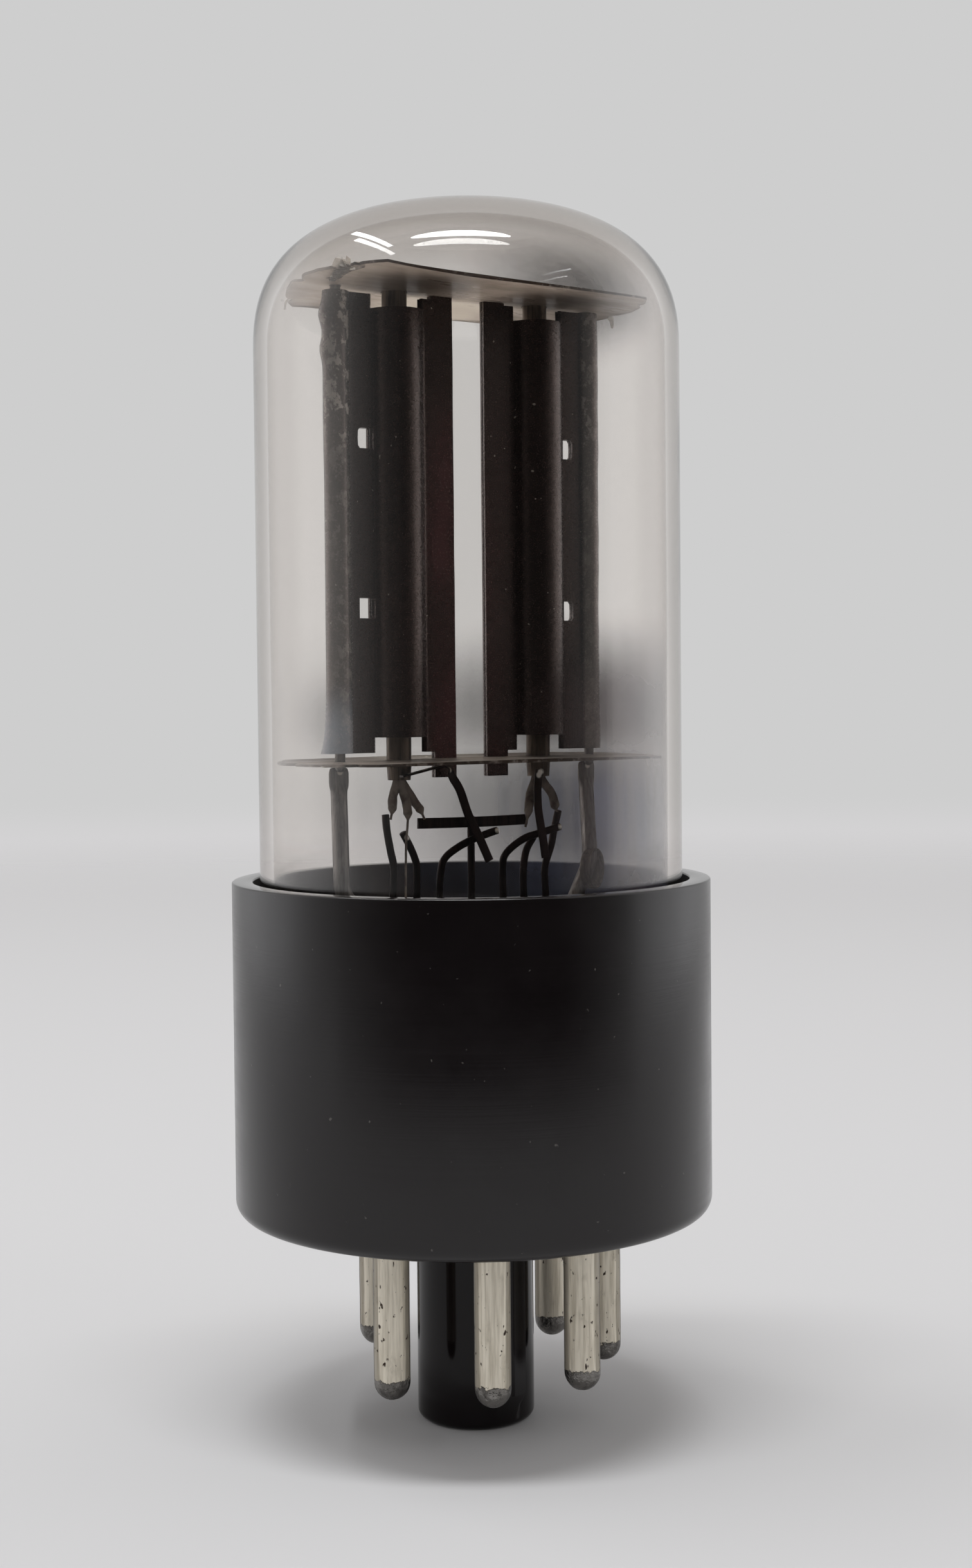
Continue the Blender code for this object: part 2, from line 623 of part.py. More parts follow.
def build_heater(name, centre, legs):
    """Coated heater: a round bundle in the sleeve, with legs that spread and thin to bare wire."""
    shape = bmesh.new()
    peg(shape, (centre, 0), HEATER_CORE_RADIUS, SLEEVE_FOOT - GAP, SLEEVE_TOP - 2 * GAP, 12)
    core = add_object(name, mesh_from(name, shape), ALUMINA)
    thin = HEATER_WIRE_RADIUS / COATED_RADIUS
    for i, (route, coated) in enumerate(legs):
        path = smooth_path(route, 3)
        scales = [1 if n < coated else thin for n in range(len(path))]
        leg = wire(f"{name}_leg_{i}", path, COATED_RADIUS, ALUMINA, scales)
        leg = as_mesh_object(leg, ALUMINA)
        TUBE.objects.unlink(leg)
        CUTTERS.objects.link(leg)
        leg.hide_render = True
        leg.display_type = "WIRE"
        cut(core, leg, "UNION")


def side_leg(centre, spread, depth, end):
    """A heater leg that leaves its sleeve, swings aside by spread and ends in front of a lead."""
    drop = SLEEVE_FOOT - end
    return [
        (centre + 0.1 * spread, 0, SLEEVE_FOOT + 2 * COATED_RADIUS),
        (centre + 0.15 * spread, 0, SLEEVE_FOOT - GAP),
        (centre + 0.6 * spread, 0.3 * depth, SLEEVE_FOOT - 0.4 * drop),
        (centre + 0.75 * spread, 0.6 * depth, SLEEVE_FOOT - 0.65 * drop),
        (centre + spread, depth, end),
    ]


def build_heaters():
    before_lead = -(LEAD_RADIUS + GAP + HEATER_WIRE_RADIUS)
    before_link = before_lead - GAP - RIBBON
    lead_end = LINK_HEIGHT + GAP
    drop = SLEEVE_FOOT - lead_end
    centre = -CATHODE_PLACE
    bend = 0.3 * LEG_SPREAD
    foot = 0.1 * LEG_SPREAD
    middle = [
        (centre, -foot, SLEEVE_FOOT + 2 * COATED_RADIUS),
        (centre, -1.5 * foot, SLEEVE_FOOT - GAP),
        (centre + bend, 0.6 * before_lead, SLEEVE_FOOT - 0.5 * drop),
        (centre + bend, before_lead, SLEEVE_FOOT - 0.9 * drop),
        (centre + foot, before_lead, climb(0.48)),
        (centre + foot, before_lead, PRESS_TOP + GAP),
    ]
    to_link = LINK_INSETS[0] + LEG_ON_LINK
    legs = [
        (side_leg(centre, -LEG_SPREAD, before_lead, lead_end), 9),
        (middle, 8),
        (side_leg(centre, to_link, before_link, LINK_HEIGHT), 9),
    ]
    build_heater("heater_left", centre, legs)
    centre = CATHODE_PLACE
    to_link = LINK_INSETS[1] + LEG_ON_LINK
    legs = [
        (side_leg(centre, -to_link, before_link, LINK_HEIGHT), 9),
        (side_leg(centre, LEG_SPREAD, before_lead, lead_end), 9),
    ]
    build_heater("heater_right", centre, legs)


def climb(share):
    """A height between the press and the lower spacer, as a share of the way up."""
    return PRESS_TOP + share * CAGE_STANDOFF


def build_stem_leads():
    """The row of leads above the press: each bends to what it is welded to."""
    width = 2 * LEAD_RADIUS
    over = width + GAP
    leg = CATHODE_PLACE + LEG_SPREAD
    a, b, c, d, e, f, g = LEAD_ROW
    low, high = LINK_HEIGHT - LINK_WIDTH, LINK_HEIGHT + LINK_WIDTH
    routes = {
        "a": [(a, 0, climb(0.23)), (a + 0.2 * width, 0, climb(0.37)), (-leg, 0, low),
              (-leg - 0.2 * width, 0, high)],
        "b": [(b, 0, climb(0.27)), (b - 0.2 * width, 0, climb(0.38)), (b - width, 0, climb(0.49)),
              (b - 2 * width, 0, climb(0.58))],
        "c": [(c, 0, climb(0.27)), (c + 0.6 * width, -0.5 * over, climb(0.42)),
              (c + 2.6 * width, -over, climb(0.48)), (d - 0.4 * width, -over - GAP, climb(0.52)),
              (d + 1.6 * width, -over - 2 * GAP, climb(0.56)),
              (d + 2.8 * width, -over - 2 * GAP, climb(0.58))],
        "d": [(d, 0, LINK_HEIGHT + LINK_WIDTH / 2)],
        "e": [(e, 0, climb(0.29)), (e + 0.4 * width, -0.5 * over, climb(0.42)),
              (e + 2.6 * width, -over, climb(0.51)), (e + 5.6 * width, -over, climb(0.55)),
              (leg - 0.6 * width, -over, climb(0.58))],
        "f": [(f, 0, climb(0.29)), (f + 0.6 * width, 0, climb(0.43)), (f + 1.6 * width, 0, climb(0.51))],
        "g": [(g, 0, climb(0.27)), (g + 0.8 * width, 0, climb(0.45)), (leg + 0.6 * width, 0, low),
              (leg + width, 0, high)],
    }
    for letter, route in routes.items():
        route = [(route[0][0], 0, LEAD_FOOT)] + route
        wire(f"stem_lead_{letter}", smooth_path(route, 3), LEAD_RADIUS, NICKEL)


def build_side_leads():
    """Stout leads from the ends of the press up to the spacer, flattened behind the anode rods."""
    back = ANODE_ROD_RADIUS + GAP + SIDE_LEAD_HEAD_DEPTH / 2
    head_top = LOWER_MICA_LEVEL - GAP
    head_foot = head_top - SIDE_LEAD_HEAD_LENGTH
    for name, side in (("left", -1), ("right", 1)):
        route = [
            (side * SIDE_LEAD_ENTRY, 0, LEAD_FOOT),
            (side * SIDE_LEAD_ENTRY, 0, PRESS_TOP + GAP),
            (side * (SIDE_LEAD_ENTRY + ROD_PLACE) / 2, back / 2, climb(0.14)),
            (side * ROD_PLACE, back, climb(0.27)),
            (side * ROD_PLACE, back, head_foot - 2 * SIDE_LEAD_RADIUS),
        ]
        shape = bmesh.new()
        radius = SIDE_LEAD_RADIUS
        path = smooth_path(route, 3)
        for point in (path[-1] + Vector((0, 0, radius)), Vector((side * ROD_PLACE, back, head_foot))):
            path.append(point)
        path.append(Vector((side * ROD_PLACE, back, head_top)))
        rings = []
        for i, point in enumerate(path):
            before, after = path[max(i - 1, 0)], path[min(i + 1, len(path) - 1)]
            along = (after - before).normalized()
            across = Vector((0, 1, 0))
            broad = across.cross(along).normalized()
            across = along.cross(broad).normalized()
            is_head = i >= len(path) - 2
            half_broad = SIDE_LEAD_HEAD_WIDTH / 2 if is_head else radius
            half_deep = SIDE_LEAD_HEAD_DEPTH / 2 if is_head else radius
            steps = 12
            rings.append([
                shape.verts.new(
                    point
                    + broad * half_broad * math.cos(2 * math.pi * k / steps)
                    + across * half_deep * math.sin(2 * math.pi * k / steps)
                )
                for k in range(steps)
            ])
        loft(shape, rings)
        add_object(f"side_lead_{name}", mesh_from(f"side_lead_{name}", shape), NICKEL_ROD)


def ribbon(name, stations, width, material):
    """A flat ribbon through stations, each a point and the direction of the ribbon's width."""
    shape = bmesh.new()
    rings = []
    for i, (point, broad) in enumerate(stations):
        before = Vector(stations[max(i - 1, 0)][0])
        after = Vector(stations[min(i + 1, len(stations) - 1)][0])
        along = (after - before).normalized()
        broad = Vector(broad)
        broad = (broad - along * broad.dot(along)).normalized()
        thick = along.cross(broad).normalized()
        corners = ((-1, -1), (1, -1), (1, 1), (-1, 1))
        rings.append([
            shape.verts.new(Vector(point) + broad * width / 2 * u + thick * RIBBON / 2 * v)
            for u, v in corners
        ])
    loft(shape, rings)
    return add_object(name, mesh_from(name, shape), material)


def build_straps():
    """Ribbons from the sleeves to their leads, and the bar that joins the heaters."""
    width = STRAP_WIDTH
    centre = -CATHODE_PLACE
    foot = SLEEVE_FOOT
    beside = CATHODE_RADIUS + GAP + width / 2
    before_c = 4 * LEAD_RADIUS + 4 * GAP
    flat, folded, upright = (0, 1, 0), (0.6, 0.7, 0), (0.9, 0, 0.4)
    stations = [
        ((centre - 1.1 * width, -beside, foot + 0.4 * width), flat),
        ((centre + 0.8 * width, -beside, foot + 0.8 * width), flat),
        ((centre + 4 * width, GAP - beside, foot + 1.5 * width), flat),
        ((centre + 5.5 * width, GAP - beside, foot + 1.3 * width), folded),
        ((centre + 6.2 * width, GAP - beside, foot + 0.4 * width), upright),
        ((centre + 7.4 * width, GAP - beside, foot - 1.3 * width), upright),
        ((-0.6 * width, -before_c, climb(0.54)), upright),
        ((0.8 * width, -before_c, climb(0.39)), upright),
    ]
    ribbon("cathode_strap_left", stations, width, NICKEL)

    centre = CATHODE_PLACE
    beside = CATHODE_RADIUS + GAP + RIBBON / 2
    before_e = 3 * LEAD_RADIUS + 2 * GAP + RIBBON
    across = (1, 0, 0)
    stations = [
        ((centre - 1.1 * width, -beside, foot + 1.1 * width), across),
        ((centre - 1.3 * width, -beside, foot - 1.5 * width), across),
        ((centre - 1.3 * width, -before_e, LINK_HEIGHT), across),
        ((centre - 0.8 * width, -before_e, climb(0.49)), across),
        ((centre - 0.6 * width, -before_e, climb(0.39)), across),
    ]
    ribbon("cathode_strap_right", stations, width, NICKEL)

    front = LEAD_RADIUS + GAP + RIBBON / 2
    upright = (0, 0, 1)
    left, right = LINK_INSETS[0] - CATHODE_PLACE, CATHODE_PLACE - LINK_INSETS[1]
    ends = [((left, -front, LINK_HEIGHT), upright), ((right, -front, LINK_HEIGHT), upright)]
    ribbon("heater_link", ends, LINK_WIDTH, NICKEL)


def crown_radius(level):
    """Inner radius of the bulb at a height within its crown."""
    share = (level - CROWN_LEVEL) / (DOME_HEIGHT - GLASS_WALL)
    return BULB_INNER_RADIUS * (1 - max(share, 0) ** DOME_POWER) ** (1 / DOME_POWER)


def build_mica(name, level, radius):
    """A mica disc with two flats, toothed ends, slits and holes for what passes through."""
    below, above = level - MICA_THICKNESS, level + 2 * MICA_THICKNESS
    shape = bmesh.new()
    peg(shape, (0, 0), radius, level, level + MICA_THICKNESS, ROUND_STEPS)
    mica = add_object(name, mesh_from(name, shape), MICA)

    shape = bmesh.new()
    tab_start = ANODE_SPACE / 2 + TAB_INSET - GAP
    tab_end = tab_start + TAB_WIDTH + 2 * GAP
    tab_deep = FOLD_OFFSET + SHEET / 2 + GAP
    half = TOOTH_SIZE / 2
    for side in (-1, 1):
        edges = sorted((side * MICA_HALF_WIDTH, side * 2 * radius))
        box(shape, (-radius - GAP, edges[0], below), (radius + GAP, edges[1], above))
        peg(shape, (side * ROD_PLACE, 0), ANODE_ROD_RADIUS + GAP, below, above, 12)
        peg(shape, (side * CATHODE_PLACE, 0), CATHODE_RADIUS + GAP, below, above)
        edges = sorted((side * tab_start, side * tab_end))
        box(shape, (edges[0], -tab_deep, below), (edges[1], tab_deep, above))
        for degrees in TOOTH_ANGLES:
            angle = math.radians(degrees)
            x, y = side * radius * math.cos(angle), radius * math.sin(angle)
            turn = angle * side + math.pi / 4
            box(shape, (x - half, y - half, below), (x + half, y + half, above), turn)
    cut(mica, add_cutter(f"{name}_holes", shape))

    shape = bmesh.new()
    for side in (-1, 1):
        corner = Vector((math.sqrt(radius**2 - MICA_HALF_WIDTH**2), MICA_HALF_WIDTH)) * side
        start = Vector((ROD_PLACE + 2 * ANODE_ROD_RADIUS + GAP, 4 * ANODE_ROD_RADIUS)) * side
        end = corner + Vector((SLIT_WIDTH, -2 * SLIT_WIDTH)) * side
        middle, length = (start + end) / 2, (end - start).length
        turn = math.atan2(end.y - start.y, end.x - start.x)
        low = (middle.x - length / 2, middle.y - SLIT_WIDTH / 2, below)
        box(shape, low, (middle.x + length / 2, middle.y + SLIT_WIDTH / 2, above), turn)
    cut(mica, add_cutter(f"{name}_slits", shape))


def build_micas():
    build_mica("mica_lower", LOWER_MICA_LEVEL, MICA_RADIUS)
    upper_radius = crown_radius(UPPER_MICA_LEVEL + MICA_THICKNESS) - GAP
    build_mica("mica_upper", UPPER_MICA_LEVEL, upper_radius)


def build_getter():
    """A small pressed cup beside the right side lead, open towards the glass."""
    radius, depth = GETTER_RADIUS, GETTER_DEPTH
    floor = depth * 0.4
    profile = [(radius, depth), (radius, 0), (0, 0)]
    profile = [(0, floor), (radius - GETTER_LIP, floor), (radius - GETTER_LIP, depth)] + profile
    cup = turned("getter_cup", profile, NICKEL, SMALL_STEPS)
    back = ANODE_ROD_RADIUS + GAP + SIDE_LEAD_HEAD_DEPTH / 2
    front = back - SIDE_LEAD_RADIUS - GAP
    level = PRESS_TOP + GETTER_DROP
    cup.location = (ROD_PLACE, front, level)
    cup.rotation_euler = (math.pi / 2, 0, 0)


build_bulb()
build_stem()
build_base()
build_cement()
build_pins()
build_pin_wires()
build_anodes()
build_anode_rods()
build_cathodes()
build_heaters()
build_stem_leads()
build_side_leads()
build_straps()
build_micas()
build_getter()
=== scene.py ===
"""Looks of a glass rectifier tube with an octal base: fine shapes, finishes, lights and camera."""

import json
import math

import bmesh
import bpy
from bpy.props import FloatProperty, FloatVectorProperty, PointerProperty
from mathutils import Matrix, Vector, noise


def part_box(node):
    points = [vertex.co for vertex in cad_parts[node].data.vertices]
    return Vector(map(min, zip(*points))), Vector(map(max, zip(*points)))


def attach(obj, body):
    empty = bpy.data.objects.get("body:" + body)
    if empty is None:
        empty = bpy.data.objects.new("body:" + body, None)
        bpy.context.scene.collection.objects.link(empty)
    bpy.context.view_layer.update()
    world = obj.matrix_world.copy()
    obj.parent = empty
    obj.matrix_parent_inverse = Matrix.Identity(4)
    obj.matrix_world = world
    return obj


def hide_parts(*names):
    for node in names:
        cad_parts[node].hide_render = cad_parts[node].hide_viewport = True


bl_info = {
    "name": "Rectifier tube",
    "version": (1, 0, 0),
    "blender": (4, 5, 0),
    "location": "3D View > Sidebar > Tube",
    "description": "Dresses a packed octal rectifier tube: glass, electrodes, base, pins and a pale stage",
    "category": "Object",
}

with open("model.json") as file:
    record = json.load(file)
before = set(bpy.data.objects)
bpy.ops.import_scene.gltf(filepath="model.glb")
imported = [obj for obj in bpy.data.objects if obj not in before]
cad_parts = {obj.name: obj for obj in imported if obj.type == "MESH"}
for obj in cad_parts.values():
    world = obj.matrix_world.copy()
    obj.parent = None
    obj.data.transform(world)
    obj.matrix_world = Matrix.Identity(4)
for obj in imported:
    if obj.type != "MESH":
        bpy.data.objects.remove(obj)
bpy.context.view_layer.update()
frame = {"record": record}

MM = 0.001
CLEARANCE = 0.3 * MM
PINS = (1, 2, 3, 4, 5, 7, 8)
WIRED_PINS = (2, 3, 4, 5, 7, 8)
SIDES = {"left": -1, "right": 1}
GLASS_IOR = 1.51


def node_box(name):
    """A CAD node's lowest and highest corners and its middle."""
    low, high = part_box(name)
    return low, high, (low + high) / 2


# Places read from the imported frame
BULB_LOW, BULB_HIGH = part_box("glass_bulb")
BASE_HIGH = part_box("base_shell")[1]
PIN_LOW, PIN_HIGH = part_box("pin_1")
LOWER_MICA, LOWER_MICA_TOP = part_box("mica_lower")
UPPER_MICA, UPPER_MICA_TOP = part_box("mica_upper")
PLATE_LOW, PLATE_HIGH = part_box("anode_right")
SLEEVE_LOW, SLEEVE_HIGH, SLEEVE = node_box("cathode_right")
ROD_LOW, ROD_HIGH, ROD = node_box("anode_rod_right")
STEM_LOW, STEM_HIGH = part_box("glass_stem")
LINK_LOW, LINK_HIGH, LINK = node_box("heater_link")
SIDE_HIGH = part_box("side_lead_right")[1]
CUP_LOW, CUP_HIGH, CUP = node_box("getter_cup")
CEMENT_LOW, CEMENT_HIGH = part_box("base_cement")
SEAT = next(m["pos_m"][2] for m in frame["record"]["mounts"] if m["name"] == "base_seat")
BULB_RADIUS = BULB_HIGH.x
BASE_RADIUS = BASE_HIGH.x
SLEEVE_PLACE = SLEEVE.x
SLEEVE_RADIUS = SLEEVE_HIGH.y
ROD_PLACE = ROD.x
ROD_RADIUS = ROD_HIGH.y
CHANNEL_RADIUS = PLATE_HIGH.y
WRAP_RADIUS = PLATE_HIGH.x - ROD_PLACE
PLATE_FOOT = LOWER_MICA_TOP.z + CLEARANCE
PLATE_HEAD = UPPER_MICA.z - CLEARANCE
PRESS_TOP = STEM_HIGH.z
WINDOW_PLACE = SLEEVE_PLACE + CHANNEL_RADIUS + 0.53 * MM
WINDOW_HALF = 0.425 * MM


def linear(hex_colour):
    """A scene-linear colour from an sRGB hex value such as "#808080"."""
    channels = (int(hex_colour[i : i + 2], 16) / 255 for i in (1, 3, 5))
    return tuple(c / 12.92 if c <= 0.04045 else ((c + 0.055) / 1.055) ** 2.4 for c in channels)


def length(name, description, default):
    return FloatProperty(
        name=name, description=description, default=default, min=0, unit="LENGTH", precision=5
    )


def share(name, description, default, top=1.0):
    return FloatProperty(name=name, description=description, default=default, min=0, max=top)


def colour(name, description, hex_colour):
    return FloatVectorProperty(
        name=name, description=description, default=linear(hex_colour), subtype="COLOR", min=0, max=1
    )


class TubeSizes(bpy.types.PropertyGroup):
    """Sizes that the frame's boxes don't give."""

    glass_wall: length("Glass wall", "Thickness of the bulb and stem", 0.9 * MM)
    dome_height: length("Dome height", "From the straight wall to the top of the bulb", 9.59 * MM)
    dome_power: share("Dome squareness", "Exponent of the dome's outline, 2 is an ellipse", 2.612, 6)
    shoulder_height: length("Shoulder height", "Rounded lower edge of the bulb", 5.5 * MM)
    shoulder_width: length("Shoulder width", "Rounded lower edge of the bulb", 4.11 * MM)
    base_wall: length("Base wall", "Thickness of the base's shell", 1.4 * MM)
    base_floor: length("Base floor", "Thickness of the base's floor", 2.2 * MM)
    base_edge: length("Base edge", "Radius round the base's underside", 1.0 * MM)
    post_radius: length("Post radius", "Radius of the guide post", 3.9 * MM)
    post_wall: length("Post wall", "Thickness of the hollow post", 1.1 * MM)
    key_width: length("Key width", "Width of the rib on the post", 2.0 * MM)
    key_reach: length("Key reach", "How far the rib stands out of the post", 1.0 * MM)
    pin_radius: length("Pin radius", "Radius of a contact pin", 1.18 * MM)
    pin_wall: length("Pin wall", "Thickness of a hollow pin", 0.3 * MM)
    solder_height: length("Solder height", "How far solder covers a pin's tip", 1.45 * MM)
    sheet: length("Plate sheet", "Thickness of the plates", 0.2 * MM)
    fold_gap: length("Fold gap", "Space between the two leaves of a plate", 0.1 * MM)
    wire_radius: length("Lead radius", "Radius of the thin leads", 0.25 * MM)
    film_reach: length("Getter film reach", "How far the dark film spreads from its middle", 17 * MM)


class TubeColours(bpy.types.PropertyGroup):
    """Colours of the finishes."""

    glass: colour("Glass", "Tint of the blown glass", "#fffdfb")
    film: colour("Getter film", "Dark metal film inside the bulb", "#4c474b")
    phenolic: colour("Phenolic", "Black moulded base", "#0d0a0b")
    tin: colour("Tinned pins", "Dull tin on the pins", "#f3ebda")
    solder: colour("Solder", "Grey solder at the pins' tips", "#8d8a86")
    plate: colour("Plates", "Carbonised sheet", "#0d0706")
    plate_wear: colour("Worn plate", "Bare metal where the coating has chipped", "#b3aca4")
    lead: colour("Leads", "Oxidised nickel", "#2c201e")
    rod: colour("Rods", "Grey nickel rods and side leads", "#87827e")
    sleeve: colour("Sleeves", "Cathode sleeves", "#64584e")
    ceramic: colour("Heater coating", "Alumina on the heater legs", "#8a8078")
    mica: colour("Mica", "Translucent spacers", "#b0a69e")
    cement: colour("Cement", "Basing cement", "#8a7450")
    copper: colour("Wire", "Copper wires in the base", "#b87850")
    floor: colour("Floor", "Pale table top", "#c7c6c7")
    far_floor: colour("Far floor", "Table top where it meets the wall", "#d3d2d3")
    backdrop: colour("Backdrop", "Pale wall behind the tube", "#cecece")


# Nodes

SMOOTH = {"interpolation_type": "SMOOTHSTEP"}
COLOURS = {"data_type": "RGBA"}
TIMES_PLUS = {"operation": "MULTIPLY_ADD"}


def fill(tree, pairs):
    """Links each input to its value where that is a node's output, and sets it otherwise."""
    for socket, value in pairs:
        if isinstance(value, bpy.types.NodeSocket):
            tree.links.new(value, socket)
        elif socket.type == "RGBA":
            socket.default_value = (*value[:3], 1)
        else:
            socket.default_value = value


def add_node(tree, kind, *values, out=None, **settings):
    """Adds a node and hands back an output, the first in use unless out names another. The values
    go to the inputs in use, in order, or one dict names its inputs."""
    node = tree.nodes.new(f"ShaderNode{kind}")
    for name, value in settings.items():
        setattr(node, name, value)
    if values and isinstance(values[0], dict):
        fill(tree, [(node.inputs[name], value) for name, value in values[0].items()])
    else:
        fill(tree, zip([socket for socket in node.inputs if socket.enabled], values))
    in_use = [socket for socket in node.outputs if socket.enabled]
    return in_use[0] if out is None else node.outputs[out]


def new_material(name):
    """A material with its node tree, its shader and the place on the object, in metres."""
    material = bpy.data.materials.new(name)
    material.use_nodes = True
    tree = material.node_tree
    return material, tree, tree.nodes["Principled BSDF"], add_node(tree, "TexCoord", out="Object")


def set_shader(tree, shader, inputs, relief=None):
    """Fills the shader's inputs by name. Relief is a height, its depth in metres and its strength."""
    fill(tree, [(shader.inputs[name], value) for name, value in inputs.items()])
    if relief:
        height, depth, strength = relief
        bump = add_node(tree, "Bump", {"Height": height, "Distance": depth, "Strength": strength})
        tree.links.new(bump, shader.inputs["Normal"])


def set_surface(tree, first, second, share):
    """Makes the material's surface the first shader, and a share of the second."""
    mix = add_node(tree, "MixShader", share, first, second)
    tree.links.new(mix, tree.nodes["Material Output"].inputs["Surface"])


def grain(tree, place, size, stretch=(1, 1, 1), detail=3.0, rough=0.55, seed=0.0):
    """Noise whose lumps are about size across, stretched along an axis, between 0 and 1."""
    scale = tuple(1 / (size * s) for s in stretch)
    moved = add_node(tree, "Mapping", {"Vector": place, "Scale": scale, "Location": (seed, seed, seed)})
    noise_inputs = {"Vector": moved, "Scale": 1.0, "Detail": detail, "Roughness": rough}
    return add_node(tree, "TexNoise", noise_inputs)


def mask(tree, *ramps):
    """The product of its ramps. A ramp is a value, the two places between which it changes
    smoothly, and what it changes from and to, which are 0 and 1 unless given. A plain value or
    output is multiplied as it is."""
    fields = [add_node(tree, "MapRange", *ramp, **SMOOTH) if type(ramp) is tuple else ramp for ramp in ramps]
    product = fields[0]
    for field in fields[1:]:
        product = add_node(tree, "Math", product, field, operation="MULTIPLY")
    return product


def cover(tree, base, tint, *ramps):
    """A second colour laid over the first, as far as the mask of the ramps lets it."""
    tint = linear(tint) if isinstance(tint, str) else tint
    return add_node(tree, "Mix", mask(tree, *ramps), base, tint, **COLOURS)


def distance(tree, place, point, noise_field=0.0, noise_reach=0.0):
    """How far a place is from a point, made uneven by a noise field."""
    far = add_node(tree, "VectorMath", place, point, operation="DISTANCE")
    return add_node(tree, "Math", noise_field, noise_reach, far, **TIMES_PLUS)


def facing(tree, way, turn):
    """How far a direction, taken level, points along an azimuth: 1 along it, -1 away from it."""
    flat = add_node(tree, "VectorMath", way, (1, 1, 0), operation="MULTIPLY")
    level = add_node(tree, "VectorMath", flat, operation="NORMALIZE")
    front = (math.sin(turn), -math.cos(turn), 0)
    return add_node(tree, "VectorMath", level, front, operation="DOT_PRODUCT")


# Shapes


def wobble(point, size, seed=0.0):
    """Smooth noise between -1 and 1 whose lumps are about size across."""
    return noise.noise(Vector(point) / size + Vector((seed, 1.7 * seed, 0.3 * seed)))


def add_object(name, data):
    """Puts a new object into the scene. Its data is a bmesh, a curve, a lamp or a camera."""
    if isinstance(data, bmesh.types.BMesh):
        shape, data = data, bpy.data.meshes.new(name)
        shape.to_mesh(data)
        shape.free()
    made = bpy.data.objects.new(name, data)
    bpy.context.scene.collection.objects.link(made)
    return made


def bake(piece):
    """The mesh of a piece, with its modifiers and its place worked in."""
    bpy.context.view_layer.update()
    graph = bpy.context.evaluated_depsgraph_get()
    mesh = bpy.data.meshes.new_from_object(piece.evaluated_get(graph), depsgraph=graph)
    mesh.transform(piece.matrix_world)
    return mesh


def place_piece(name, shape, material, replaces=(), crease=35):
    """Turns a bmesh into a piece that rides on the tube and stands for its CAD nodes."""
    return dress(add_object(name, shape), material, replaces, crease)


def dress(piece, material, replaces=(), crease=35):
    """Gives a piece its finish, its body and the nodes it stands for."""
    piece.data.materials.clear()
    piece.data.materials.append(material)
    piece.data.shade_smooth()
    piece.data.set_sharp_from_angle(angle=math.radians(crease))
    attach(piece, "root")
    if replaces:
        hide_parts(*replaces)
    return piece


def skin(shape, rings, closed=False):
    """Faces between rings that hold the same number of points. A ring may be a single point."""
    pairs = list(zip(rings, rings[1:]))
    if closed:
        pairs.append((rings[-1], rings[0]))
    for low, high in pairs:
        count = max(len(low), len(high))
        for i in range(count):
            j = (i + 1) % count
            corners = [low[i % len(low)], low[j % len(low)], high[j % len(high)], high[i % len(high)]]
            unique = list(dict.fromkeys(corners))
            if len(unique) > 2:
                shape.faces.new(unique)
    bmesh.ops.recalc_face_normals(shape, faces=shape.faces)


def lathe(profile, sides, closed=False, radius_at=None, x=0.0, y=0.0):
    """A turned solid from its half section. radius_at may change a radius round the axis, which
    stands at x and y."""
    shape = bmesh.new()
    rings = []
    for r, z in profile:
        if r < 1e-7:
            rings.append([shape.verts.new((0, 0, z))])
            continue
        ring = []
        for i in range(sides):
            angle = 2 * math.pi * i / sides
            reach = radius_at(angle, r, z) if radius_at else r
            ring.append(shape.verts.new((reach * math.cos(angle), reach * math.sin(angle), z)))
        rings.append(ring)
    skin(shape, rings, closed)
    bmesh.ops.translate(shape, vec=(x, y, 0), verts=shape.verts)
    return shape


def arc(centre_r, centre_z, radius, start, end, steps):
    """Points on an arc of a half section, angles in degrees from the outward direction."""
    turns = [math.radians(start + (end - start) * i / steps) for i in range(steps + 1)]
    return [(centre_r + radius * math.cos(t), centre_z + radius * math.sin(t)) for t in turns]


def smooth_path(points, per_span=8):
    """A Catmull-Rom curve through the points."""
    path = [Vector(p) for p in points]
    path = [2 * path[0] - path[1]] + path + [2 * path[-1] - path[-2]]
    out = []
    for a, b, c, d in zip(path, path[1:], path[2:], path[3:]):
        for i in range(per_span):
            t = i / per_span
            out.append(
                0.5 * (2 * b + (c - a) * t + (2 * a - 5 * b + 4 * c - d) * t**2)
                + 0.5 * (3 * b - a - 3 * c + d) * t**3
            )
    out.append(path[-2])
    return out


def rounded_section(half_wide, half_deep, power, sides):
    """Points round a superellipse: power 2 is an ellipse, and more is squarer."""
    points = []
    for i in range(sides):
        c, s = math.cos(2 * math.pi * i / sides), math.sin(2 * math.pi * i / sides)
        across = half_wide * math.copysign(abs(c) ** (2 / power), c)
        points.append((across, half_deep * math.copysign(abs(s) ** (2 / power), s)))
    return points


def sweep(shape, path, sizes, broad=(0, 1, 0), sides=16, power=2.0):
    """Sweeps a rounded section along a path. sizes gives (half width, half depth) at each point."""
    rings = []
    for i, point in enumerate(path):
        along = (path[min(i + 1, len(path) - 1)] - path[max(i - 1, 0)]).normalized()
        wide = Vector(broad[i] if isinstance(broad, list) else broad)
        wide = (wide - along * wide.dot(along)).normalized()
        deep = along.cross(wide)
        half_wide, half_deep = sizes[i] if isinstance(sizes, list) else sizes
        ring = rounded_section(half_wide, half_deep, power, sides)
        rings.append([shape.verts.new(point + wide * u + deep * v) for u, v in ring])
    skin(shape, rings)
    shape.faces.new(list(reversed(rings[0])))
    shape.faces.new(rings[-1])


